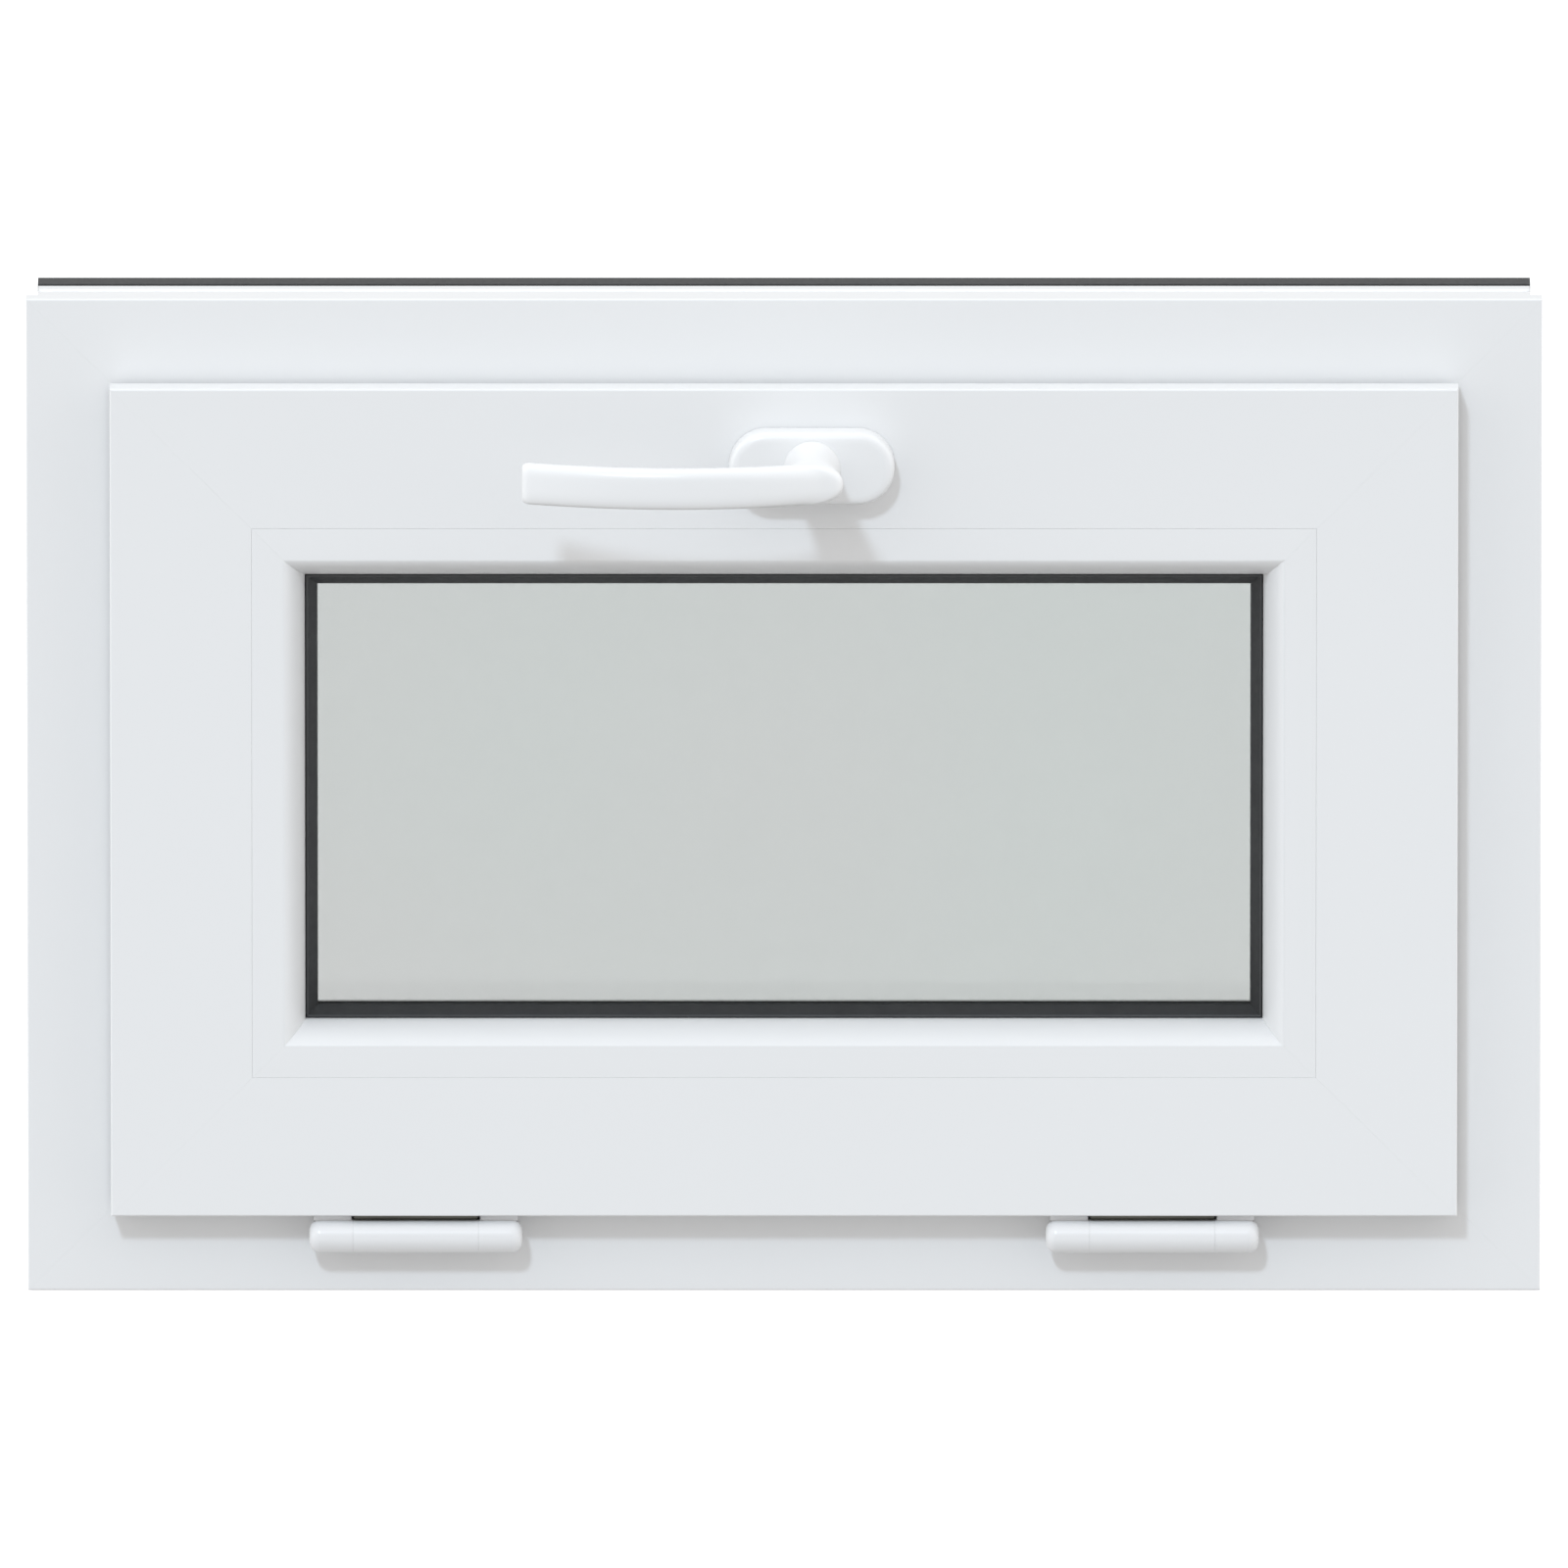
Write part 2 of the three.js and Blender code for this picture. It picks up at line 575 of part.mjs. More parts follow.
function rosetteBase() {
  const height = 5;
  const headDepth = 3;
  const holes = [-1, 1].flatMap((sign) => {
    const x = (sign * SCREW_SPACING) / 2;
    const shank = cylinder("y", 2.8, -height - 1, 1, x, 0);
    const head = cylinder("y", 4.8, -height - 1, -height - FIT + headDepth, x, 0);
    return [shank, head];
  });
  return cut(towardsRoom(stadium(58, 22.5, 6), -FIT, height), ...holes);
}

function rosetteCover() {
  const bevel = 3;
  const { length, width, height } = ROSETTE;
  const flat = stadium(length - 2 * bevel, width - 2 * bevel);
  const options = { bevelEnabled: true, bevelThickness: bevel, bevelSize: bevel, bevelSegments: 3 };
  const domed = towardsRoom(flat, -bevel, height - 2 * bevel, options);
  const trimmed = cut(domed, box(-length, length, -FIT, 1, -width, width));
  const skirt = towardsRoom(stadium(length, width), -FIT, bevel);
  const cavity = towardsRoom(stadium(59, 24), 1, height - 3 + 1);
  return cut(join(trimmed, skirt), cavity, cylinder("y", NECK_RADIUS + 0.35, -height - 1, 0));
}

/** A closed skin over rings of the same number of points, with flat ends. */
function skin(rings) {
  const n = rings[0].length;
  const last = (rings.length - 1) * n;
  const index = [];
  for (let ring = 0; ring < last; ring += n) {
    for (let j = 0; j < n; j++) {
      const a = ring + j;
      const b = ring + ((j + 1) % n);
      index.push(a, b, b + n, a, b + n, a + n);
    }
  }
  for (let j = 1; j < n - 1; j++) index.push(0, j + 1, j, last, last + j, last + j + 1);
  const geometry = new THREE.BufferGeometry();
  geometry.setAttribute("position", new THREE.Float32BufferAttribute(rings.flat(2), 3));
  geometry.setIndex(index);
  return geometry;
}

/** How much further the grip's back stands from the sash than it does at its ends. */
function gripBow(x) {
  const share = (x - LEVER.right) / (LEVER.left - LEVER.right);
  return 4 * LEVER.bow * share * (1 - share);
}

/** Rounded section between an outer and an inner point, each given by X and distance from the sash. */
function leverSection({ outer, inner, rise, half, power }) {
  const points = 28;
  const rounded = (value) => Math.sign(value) * Math.abs(value) ** (2 / power);
  return Array.from({ length: points }, (_, i) => {
    const turn = (2 * Math.PI * i) / points;
    const across = rounded(Math.cos(turn)) / 2;
    const x = (outer[0] + inner[0]) / 2 + (outer[0] - inner[0]) * across;
    const y = (outer[1] + inner[1]) / 2 + (outer[1] - inner[1]) * across;
    return [x, -y, rise + rounded(Math.sin(turn)) * half];
  });
}

/** Lever: a round neck with a flared foot, an elbow, and a bowed grip that ends flat on the left. */
function lever() {
  const { back, rise, thickness, width, left } = LEVER;
  const half = width / 2;
  const front = back + thickness;
  const foot = ROSETTE.height + FIT;
  const row = (outer, inner, up, halfHeight, power) =>
    ({ outer, inner, rise: up, half: halfHeight, power });
  const grip = (xOut, xIn, power, inset = 0) => row(
    [xOut, front + gripBow(xOut) - inset], [xIn, back + gripBow(xIn) + inset], rise, half - inset, power);
  const rows = [
    row([NECK_RADIUS, 6], [-NECK_RADIUS, 6], 0, NECK_RADIUS, 2),
    row([NECK_RADIUS, foot], [-NECK_RADIUS, foot], 0, NECK_RADIUS, 2),
    row([FOOT_RADIUS, foot + 0.1], [-FOOT_RADIUS, foot + 0.1], 0, FOOT_RADIUS, 2),
    row([10.5, 16.5], [-10.5, 16.5], 0, 10.5, 2),
    row([9.8, 24], [-9.8, 24], 0.15 * rise, 9.6, 2),
    row([9.8, 36], [-9.8, 35], 0.4 * rise, 9.1, 2),
    row([10.9, 49.5], [-10.8, 47], 0.75 * rise, 8.4, 2.05),
    row([12.2, 57.6], [-13.6, 55.4], 0.95 * rise, 8.2, 2.2),
    row([9.4, 62.6], [-20.2, 61.1], rise, half, 2.4),
    grip(-4, -31, 2.7),
    grip(-27, -42, 3),
    ...[-58, -72, -86, -100].map((x) => grip(x, x, 3.3)),
    grip(left + 2.5, left + 2.5, 3.3),
    grip(left, left, 3.3, 1.8),
  ];
  const socket = SPINDLE / 2 + 0.15;
  return cut(skin(rows.map(leverSection)), box(-socket, socket, -24, 0, -socket, socket));
}

function drivePinion() {
  const root = 6.2;
  const tip = 9.6;
  const rootHalf = Math.asin(1.4 / root);
  const tipHalf = Math.asin(0.7 / tip);
  const points = [];
  for (let tooth = 0; tooth < PINION_TEETH; tooth++) {
    const middle = Math.PI / 2 + (tooth * 2 * Math.PI) / PINION_TEETH;
    for (const [radius, turn] of [[root, -rootHalf], [tip, -tipHalf], [tip, tipHalf], [root, rootHalf]]) {
      points.push([radius * Math.cos(middle + turn), radius * Math.sin(middle + turn)]);
    }
  }
  const half = SPINDLE / 2 + 0.15;
  const gear = withHoles(polygon(points), rectangle(-half, half, -half, half));
  return towardsRoom(gear, PINION_FRONT + PINION_THICKNESS, PINION_THICKNESS);
}

/** Open-topped case round the pinion, with the spindle and both screws going through. */
function gearboxHousing() {
  const { front, back, top, bottom, half } = HOUSING;
  const pocketFront = PINION_FRONT - 0.6;
  const pocketBack = PINION_FRONT + PINION_THICKNESS + 0.6;
  const reach = 10.1;
  const screwX = SCREW_SPACING / 2;
  const screws = [-screwX, screwX].map((x) => cylinder("y", 2.8, front - 1, back + 1, x, 0));
  return cut(
    box(-half, half, front, back, bottom, top),
    cylinder("y", reach, pocketFront, pocketBack, 0, 0, 32),
    box(-reach, reach, pocketFront, pocketBack, 0, top + 1),
    cylinder("y", 5.6, front - 1, back + 1),
    ...screws,
  );
}

function handleScrew() {
  return join(cylinder("y", 4.3, -4.9, -2.4, 0, 0, 16), cylinder("y", 2.4, -3, 28, 0, 0, 16));
}

/** Flat rod with a row of slots that the pinion's teeth drive. */
function driveRod() {
  const half = ROD.length / 2;
  const top = ROD.bottom + ROD.thickness;
  const slots = [];
  for (let k = -2; k <= 4; k++) {
    const x = HANDLE_X + k * RACK_PITCH;
    slots.push(box(x - 2, x + 2, GROOVE_V - 3.5, GROOVE_V + 3.5, ROD.bottom - 1, top + 1));
  }
  const bar = box(-half, half, GROOVE_V - ROD.width / 2, GROOVE_V + ROD.width / 2, ROD.bottom, top);
  return cut(bar, ...slots);
}

/** Mushroom-headed cam standing up from the rod through the faceplate. */
function lockingCam() {
  const foot = ROD.bottom + ROD.thickness + FIT;
  const head = FACEPLATE_TOP + 0.6;
  return join(
    cylinder("z", 3, foot, head + 1, 0, GROOVE_V, 16),
    cylinder("z", 4.5, head, head + 5.2, 0, GROOVE_V, 20),
  );
}

/** Strip over the hardware groove, slotted where the cams travel. */
function faceplate() {
  const half = 200;
  const bottom = HEIGHT - SASH_BODY + FIT;
  const reach = 3.6;
  const slots = [-1, 1].map((sign) => {
    const x = sign * CAM_X;
    return box(
      x - ROD_TRAVEL - reach, x + reach,
      GROOVE_V - reach, GROOVE_V + reach,
      bottom - 1, FACEPLATE_TOP + 1,
    );
  });
  return cut(box(-half, half, GROOVE_V - 8, GROOVE_V + 8, bottom, FACEPLATE_TOP), ...slots);
}

function addHandle(root) {
  const handle = new THREE.Group();
  handle.position.set(HANDLE_X, SASH_FRONT, HANDLE_Z);
  root.add(handle);
  part("rosette_base", rosetteBase(), PACKER, handle);
  part("rosette_cover", rosetteCover(), WHITE_METAL, handle);
  for (const [side, sign] of [["left", -1], ["right", 1]]) {
    part(`handle_screw_${side}`, handleScrew(), STEEL, handle).position.x = (sign * SCREW_SPACING) / 2;
    part(`locking_cam_${side}`, lockingCam(), STEEL, root).position.x = sign * CAM_X;
  }
  part("handle_lever", lever(), WHITE_METAL, handle);
  const half = SPINDLE / 2;
  part("handle_spindle", box(-half, half, -23.5, HOUSING.back - 0.4, -half, half), STEEL, handle);
  part("drive_pinion", drivePinion(), STEEL, handle);
  part("gearbox_housing", gearboxHousing(), STEEL, handle);
  part("drive_rod", driveRod(), STEEL, root);
  part("faceplate", faceplate(), STEEL, root);
}

// ---------------------------------------------------------------- stays

/** Plate on the frame's side with the rivet that the arm turns on. */
function stayBracket(sign) {
  const wall = WIDTH / 2 - FRAME_REBATE - FIT;
  return join(
    box(...mirrored(sign, wall - 2.2, wall), GROOVE_V - 7.5, GROOVE_V + 7.5, -18, 18),
    cylinder("x", 3, ...mirrored(sign, 249.4, wall - 1), GROOVE_V, 0),
    cylinder("x", 4.6, ...mirrored(sign, 247.6, 250), GROOVE_V, 0),
  );
}

/** Arm from the rivet up to the peg that runs in the sash's track. */
function stayArm(sign) {
  const thickness = 3;
  const inner = 250.3;
  const [x0] = mirrored(sign, inner, inner + thickness);
  const plate = extrude(stadium(STAY_ARM + 12, 12), thickness)
    .rotateZ(Math.PI / 2)
    .rotateX(Math.PI / 2)
    .rotateZ(Math.PI / 2)
    .translate(x0, GROOVE_V, STAY_ARM / 2);
  const peg = cylinder("x", PEG_RADIUS, ...mirrored(sign, 240.5, inner + 1), GROOVE_V, STAY_ARM, 16);
  return cut(join(plate, peg), cylinder("x", 3.3, x0 - 1, x0 + thickness + 1, GROOVE_V, 0));
}

function addStays(root) {
  for (const [side, sign] of [["left", -1], ["right", 1]]) {
    part(`stay_bracket_${side}`, stayBracket(sign), STEEL, root).position.z = STAY_PIVOT_Z;
    part(`stay_arm_${side}`, stayArm(sign), STEEL, root).position.z = STAY_PIVOT_Z;
  }
}

const tiltWindow = new THREE.Group();
tiltWindow.name = "tilt_window";
addFrame(tiltWindow);
addSash(tiltWindow);
addHinges(tiltWindow);
addHandle(tiltWindow);
addStays(tiltWindow);

export default tiltWindow;
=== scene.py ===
"""Looks of a white PVC tilt window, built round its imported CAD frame. Metres, +Z up, room side towards -Y."""

import json
import math

import bmesh
import bpy
from mathutils import Matrix, Vector
from mathutils.geometry import tessellate_polygon

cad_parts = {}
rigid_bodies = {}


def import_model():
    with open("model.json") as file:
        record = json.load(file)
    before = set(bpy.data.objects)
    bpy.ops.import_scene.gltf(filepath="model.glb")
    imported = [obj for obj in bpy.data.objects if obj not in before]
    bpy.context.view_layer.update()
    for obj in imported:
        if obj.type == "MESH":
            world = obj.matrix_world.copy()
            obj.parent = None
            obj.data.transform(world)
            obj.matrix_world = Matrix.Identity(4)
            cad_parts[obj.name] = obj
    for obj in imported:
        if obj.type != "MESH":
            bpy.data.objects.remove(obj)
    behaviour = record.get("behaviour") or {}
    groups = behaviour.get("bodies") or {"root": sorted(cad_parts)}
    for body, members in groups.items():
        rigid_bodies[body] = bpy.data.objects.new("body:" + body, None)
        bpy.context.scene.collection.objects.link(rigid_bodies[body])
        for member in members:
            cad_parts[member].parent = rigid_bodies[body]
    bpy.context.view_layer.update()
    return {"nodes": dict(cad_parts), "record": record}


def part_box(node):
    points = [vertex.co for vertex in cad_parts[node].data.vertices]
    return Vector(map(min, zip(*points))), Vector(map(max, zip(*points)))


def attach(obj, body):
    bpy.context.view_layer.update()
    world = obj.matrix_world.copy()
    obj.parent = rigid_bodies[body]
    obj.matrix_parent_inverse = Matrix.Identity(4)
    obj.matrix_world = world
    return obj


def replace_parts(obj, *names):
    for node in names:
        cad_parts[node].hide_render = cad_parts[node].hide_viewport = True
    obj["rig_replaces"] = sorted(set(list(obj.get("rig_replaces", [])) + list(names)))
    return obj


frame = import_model()


MM = 0.001
SIDES = ("bottom", "right", "top", "left")
GAP = 0.002 * MM  # half of the line between two welded lengths
WELD_BEVEL = 0.03 * MM  # chamfer on each side of that line


# ------------------------------------------------------------------ sizes taken from the frame

def span(node):
    low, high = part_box(node)
    return Vector(low), Vector(high)


FRAME_LOW, FRAME_HIGH = span("frame_bottom_profile")
TOP_HIGH = span("frame_top_profile")[1]
HALF_WIDTH = span("frame_right_profile")[1].x
HEIGHT = TOP_HIGH.z
CENTRE_Z = HEIGHT / 2
SASH_LOW, SASH_HIGH = span("sash_bottom_profile")
ROSETTE_LOW, ROSETTE_HIGH = span("rosette_cover")
SPINDLE_LOW, SPINDLE_HIGH = span("handle_spindle")
SPINDLE = (SPINDLE_LOW + SPINDLE_HIGH) / 2


# ------------------------------------------------------------------ outlines

def arc_corner(before, at, after, radius, steps):
    """Points that round one corner of an outline, by no more than its shorter edge allows."""
    to_before = (before - at).normalized()
    to_after = (after - at).normalized()
    turn = to_before.angle(to_after)
    if radius <= 0 or turn > math.pi - 0.02:
        return [at.copy()]
    reach = radius / math.tan(turn / 2)
    reach = min(reach, 0.49 * (before - at).length, 0.49 * (after - at).length)
    radius = reach * math.tan(turn / 2)
    bisector = (to_before + to_after).normalized()
    middle = at + bisector * (radius / math.sin(turn / 2))
    start = at + to_before * reach - middle
    end = at + to_after * reach - middle
    sweep = start.angle_signed(end)
    points = []
    for i in range(steps + 1):
        angle = -sweep * i / steps
        points.append(middle + Matrix.Rotation(angle, 2) @ start)
    return points


def rounded(corners_mm, steps=4):
    """An outline in metres from (u, v) or (u, v, radius) corners in millimetres."""
    flat = [Vector((c[0], c[1])) * MM for c in corners_mm]
    radii = [(c[2] if len(c) > 2 else 0.0) * MM for c in corners_mm]
    count = len(flat)
    points = []
    for i in range(count):
        points += arc_corner(flat[i - 1], flat[i], flat[(i + 1) % count], radii[i], steps)
    return points


def counter_clockwise(outline):
    area = sum(a.x * b.y - b.x * a.y for a, b in zip(outline, outline[1:] + outline[:1]))
    return outline if area > 0 else outline[::-1]


def shrunk(outline, by):
    """A counter-clockwise outline moved inwards by a small distance."""
    count = len(outline)
    result = []
    for i in range(count):
        before = (outline[i] - outline[i - 1]).normalized()
        after = (outline[(i + 1) % count] - outline[i]).normalized()
        inward = Vector((-before.y - after.y, before.x + after.x))
        inward.normalize()
        result.append(outline[i] + inward * by)
    return result


# ------------------------------------------------------------------ mesh makers

def make_object(name, vertices, faces, material, smooth_angle=35.0):
    """A closed mesh with its faces turned outwards, smooth where neighbours meet at a small angle."""
    mesh = bpy.data.meshes.new(name)
    mesh.from_pydata([tuple(v) for v in vertices], [], faces)
    work = bmesh.new()
    work.from_mesh(mesh)
    bmesh.ops.remove_doubles(work, verts=work.verts, dist=1e-7)
    bmesh.ops.recalc_face_normals(work, faces=work.faces)
    work.to_mesh(mesh)
    work.free()
    mesh.shade_smooth()
    mesh.set_sharp_from_angle(angle=math.radians(smooth_angle))
    obj = bpy.data.objects.new(name, mesh)
    bpy.context.scene.collection.objects.link(obj)
    weighted = obj.modifiers.new("flat_faces_lead", "WEIGHTED_NORMAL")
    weighted.keep_sharp = True
    obj.data.materials.append(material)
    return obj


def bridge(count, rings, closed=False):
    """Quads between rings of the same number of points."""
    faces = []
    pairs = rings if closed else rings - 1
    for ring in range(pairs):
        here, there = ring * count, ((ring + 1) % rings) * count
        for j in range(count):
            k = (j + 1) % count
            faces.append((here + j, here + k, there + k, there + j))
    return faces


def side_point(side, along, u, v):
    """A point on one side of the window, from the distance along it and in from the outer edge."""
    drop_z, drop_x = CENTRE_Z - u, HALF_WIDTH - u
    if side == "bottom":
        return Vector((along, v, CENTRE_Z - drop_z))
    if side == "top":
        return Vector((-along, v, CENTRE_Z + drop_z))
    if side == "right":
        return Vector((drop_x, v, CENTRE_Z + along))
    return Vector((-drop_x, v, CENTRE_Z - along))


def half_run(side, u):
    return (HALF_WIDTH if side in ("bottom", "top") else CENTRE_Z) - u


def mitred_length(name, outline, chambers, side, material):
    """One length of hollow profile between mitre cuts, with a fine V at each weld."""
    vertices, faces, ends = [], [], ([], [])

    def carry(cuts):
        """Carries an outline from mitre to mitre; cuts are (distance short of the mitre, outline)."""
        stations = [(1, short, points) for short, points in cuts]
        stations += [(-1, short, points) for short, points in reversed(cuts)]
        first, count = len(vertices), len(cuts[0][1])
        for sign, short, points in stations:
            for p in points:
                vertices.append(side_point(side, sign * (half_run(side, p.x) - short), p.x, p.y))
        faces.extend(tuple(first + i for i in face) for face in bridge(count, len(stations)))
        ends[0].append(range(first, first + count))
        ends[1].append(range(len(vertices) - count, len(vertices)))

    outside = counter_clockwise(outline)
    carry([(GAP, shrunk(outside, WELD_BEVEL)), (GAP + WELD_BEVEL, outside)])
    for chamber in chambers:
        carry([(GAP, counter_clockwise(chamber))])
    for loops in ends:
        order = [i for loop in loops for i in loop]
        for triangle in tessellate_polygon([[vertices[i] for i in loop] for loop in loops]):
            faces.append(tuple(order[i] for i in triangle))
    return make_object(name, vertices, faces, material)


def ring_sweep(name, outline, material):
    """A profile carried all round the window in one piece."""
    outline = counter_clockwise(outline)
    rings = []
    for sx, sz in ((1, -1), (-1, -1), (-1, 1), (1, 1)):
        rings.append([
            Vector((sx * (HALF_WIDTH - p.x), p.y, CENTRE_Z + sz * (CENTRE_Z - p.x))) for p in outline])
    vertices = [p for ring in rings for p in ring]
    return make_object(name, vertices, bridge(len(outline), 4, closed=True), material)


def loft(name, rings, material, smooth_angle=40.0):
    """A skin over closed rings, capped at both ends."""
    count = len(rings[0])
    vertices = [p for ring in rings for p in ring]
    faces = bridge(count, len(rings))
    faces.append(tuple(reversed(range(count))))
    faces.append(tuple(range((len(rings) - 1) * count, len(rings) * count)))
    return make_object(name, vertices, faces, material, smooth_angle)


def place(obj, body, slot, *nodes):
    """Puts a piece on its body and says which nodes it stands for."""
    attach(obj, body)
    if nodes:
        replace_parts(obj, *nodes)
    return obj


# ------------------------------------------------------------------ materials

NOISE_MIDDLE = (0.2, 0.8)  # the noise that is spread over a coat's two colours
NOISE_REACH = (0.1, 0.9)  # the noise that is spread over its two roughnesses


def new_material(name, roughness, metallic=0.0):
    material = bpy.data.materials.new(name)
    material.use_nodes = True
    tree = material.node_tree
    shader = tree.nodes["Principled BSDF"]
    shader.inputs["Roughness"].default_value = roughness
    shader.inputs["Metallic"].default_value = metallic
    return material, tree, shader


def noise_node(tree, scale, detail=2.0, stretch=(1, 1, 1)):
    """Noise in the piece's own coordinates, which are the window's own metres."""
    place_in = tree.nodes.new("ShaderNodeTexCoord")
    mapping = tree.nodes.new("ShaderNodeMapping")
    mapping.inputs["Scale"].default_value = stretch
    texture = tree.nodes.new("ShaderNodeTexNoise")
    texture.inputs["Scale"].default_value = scale
    texture.inputs["Detail"].default_value = detail
    tree.links.new(place_in.outputs["Object"], mapping.inputs["Vector"])
    tree.links.new(mapping.outputs["Vector"], texture.inputs["Vector"])
    return texture


def vary_colour(tree, shader, source, dark, light):
    node = tree.nodes.new("ShaderNodeValToRGB")
    for element, position, colour in zip(node.color_ramp.elements, NOISE_MIDDLE, (dark, light)):
        element.position = position
        element.color = (*colour, 1.0)
    tree.links.new(source.outputs["Fac"], node.inputs["Fac"])
    tree.links.new(node.outputs["Color"], shader.inputs["Base Color"])


def vary_roughness(tree, shader, source, low, high):
    node = tree.nodes.new("ShaderNodeMapRange")
    node.inputs["From Min"].default_value, node.inputs["From Max"].default_value = NOISE_REACH
    node.inputs["To Min"].default_value = low
    node.inputs["To Max"].default_value = high
    tree.links.new(source.outputs["Fac"], node.inputs["Value"])
    tree.links.new(node.outputs["Result"], shader.inputs["Roughness"])


def add_bump(tree, shader, source, depth, strength):
    node = tree.nodes.new("ShaderNodeBump")
    node.inputs["Distance"].default_value = depth
    node.inputs["Strength"].default_value = strength
    tree.links.new(source.outputs["Fac"], node.inputs["Height"])
    tree.links.new(node.outputs["Normal"], shader.inputs["Normal"])


def white_pvc():
    """Extruded PVC: satin gloss, a barely uneven skin and the faintest change of white."""
    material, tree, shader = new_material("white_pvc", 0.32)
    shader.inputs["Specular IOR Level"].default_value = 0.45
    vary_colour(tree, shader, noise_node(tree, 4.0), (0.795, 0.796, 0.797), (0.808, 0.808, 0.808))
    vary_roughness(tree, shader, noise_node(tree, 25.0, 1.0), 0.33, 0.38)
    add_bump(tree, shader, noise_node(tree, 600.0, 1.0), 0.002 * MM, 0.4)
    return material


def powder_coat():
    """White powder coat on the lever and rosette, with a fine orange peel."""
    material, tree, shader = new_material("white_powder_coat", 0.28)
    vary_colour(tree, shader, noise_node(tree, 5.0), (0.805, 0.805, 0.806), (0.815, 0.815, 0.815))
    vary_roughness(tree, shader, noise_node(tree, 9.0, 1.0), 0.27, 0.31)
    add_bump(tree, shader, noise_node(tree, 250.0, 0.0), 0.0015 * MM, 0.3)
    return material


def hinge_plastic():
    """Smooth white moulding, a shade greyer than the coat on the lever."""
    material, tree, shader = new_material("hinge_plastic", 0.22)
    vary_colour(tree, shader, noise_node(tree, 5.0), (0.778, 0.777, 0.782), (0.79, 0.789, 0.793))
    vary_roughness(tree, shader, noise_node(tree, 9.0, 1.0), 0.25, 0.29)
    add_bump(tree, shader, noise_node(tree, 250.0, 0.0), 0.001 * MM, 0.3)
    return material


def black_rubber():
    """Extruded black gasket: matt, with a soft sheen on its ribs."""
    material, tree, shader = new_material("black_gasket", 0.5)
    shader.inputs["Specular IOR Level"].default_value = 0.5
    grain = noise_node(tree, 120.0, 3.0)
    vary_colour(tree, shader, grain, (0.012, 0.013, 0.014), (0.022, 0.023, 0.024))
    vary_roughness(tree, shader, noise_node(tree, 400.0, 3.0), 0.42, 0.6)
    add_bump(tree, shader, noise_node(tree, 1500.0, 2.0), 0.02 * MM, 0.6)
    return material


def grey_foam():
    """Dark grey pre-compressed sealing tape with open pores."""
    material, tree, shader = new_material("grey_seal", 0.85)
    vary_colour(tree, shader, noise_node(tree, 500.0, 4.0), (0.035, 0.035, 0.036), (0.06, 0.06, 0.06))
    vary_roughness(tree, shader, noise_node(tree, 200.0, 2.0), 0.75, 0.95)
    add_bump(tree, shader, noise_node(tree, 1100.0, 4.0), 0.15 * MM, 0.8)
    return material


def plated_steel(name, dark, light, low=0.28, high=0.5):
    """Drawn and plated steel: fine lines along X and a cloudy passivation."""
    material, tree, shader = new_material(name, 0.4, 1.0)
    vary_colour(tree, shader, noise_node(tree, 35.0, 4.0), dark, light)
    vary_roughness(tree, shader, noise_node(tree, 90.0, 4.0, (0.15, 6.0, 6.0)), low, high)
    add_bump(tree, shader, noise_node(tree, 500.0, 3.0, (0.05, 3.0, 3.0)), 0.01 * MM, 0.5)
    return material


def float_glass():
    """Clear float glass with the faint, uneven green and rose of a low-emission coating."""
    material, tree, shader = new_material("float_glass", 0.0)
    shader.inputs["Transmission Weight"].default_value = 1.0
    shader.inputs["IOR"].default_value = 1.5
    vary_colour(tree, shader, noise_node(tree, 3.5, 1.0), (0.63, 0.626, 0.622), (0.607, 0.637, 0.624))
    return material


def moulded_plastic(name, dark, light):
    """Matt moulding with a fine grain."""
    material, tree, shader = new_material(name, 0.5)
    vary_colour(tree, shader, noise_node(tree, 80.0, 2.0), dark, light)
    vary_roughness(tree, shader, noise_node(tree, 300.0, 2.0), 0.42, 0.6)
    add_bump(tree, shader, noise_node(tree, 900.0, 2.0), 0.015 * MM, 0.6)
    return material


PVC = white_pvc()
POWDER = powder_coat()
HINGE = hinge_plastic()
RUBBER = black_rubber()
FOAM = grey_foam()
ZINC = plated_steel("zinc_steel", (0.5, 0.51, 0.5), (0.62, 0.62, 0.6))
DARK = plated_steel("dark_steel", (0.05, 0.05, 0.042), (0.09, 0.088, 0.075), 0.35, 0.55)
SPACER = plated_steel("spacer_aluminium", (0.6, 0.61, 0.62), (0.68, 0.69, 0.7))
GLASS = float_glass()
PACKER = moulded_plastic("packer_plastic", (0.3, 0.4, 0.5), (0.36, 0.46, 0.56))
SLOT_MATERIALS = {
    "white_pvc": PVC, "white_handle": POWDER, "white_hinge": HINGE, "black_gasket": RUBBER,
    "grey_seal": FOAM, "zinc_steel": ZINC, "dark_steel": DARK, "spacer_aluminium": SPACER,
    "glass": GLASS, "packer_plastic": PACKER,
}


# ------------------------------------------------------------------ frame, sash and beads

# Profile corners are in millimetres: u in from the window's outer edge, v along Y.
FACE, BACK = FRAME_LOW.y / MM, FRAME_HIGH.y / MM
SASH_FACE, SASH_BACK = SASH_LOW.y / MM, SASH_HIGH.y / MM
FRAME_SIDE = 4.5  # outer side of the frame, behind its full-size front lip
SEAL_SEAT, SEAL_FRONT = 7, 18
FRAME_REBATE, FRAME_LEG = 41.3, 62
FRAME_STOP = 15  # room side of the frame's outside leg
SASH_EDGE, SASH_LIP_BACK = 33.3, -37.5
SASH_BODY, SASH_STEP = 53.3, 64
SASH_STOP = 11  # this face closes on the frame gasket
GROOVE_FLOOR, GROOVE_FRONT, GROOVE_REAR = 62, -30.8, -18.2
BEAD_LINE, REBATE_BASE, BEAD_EDGE = 89.3, 92, 110.3
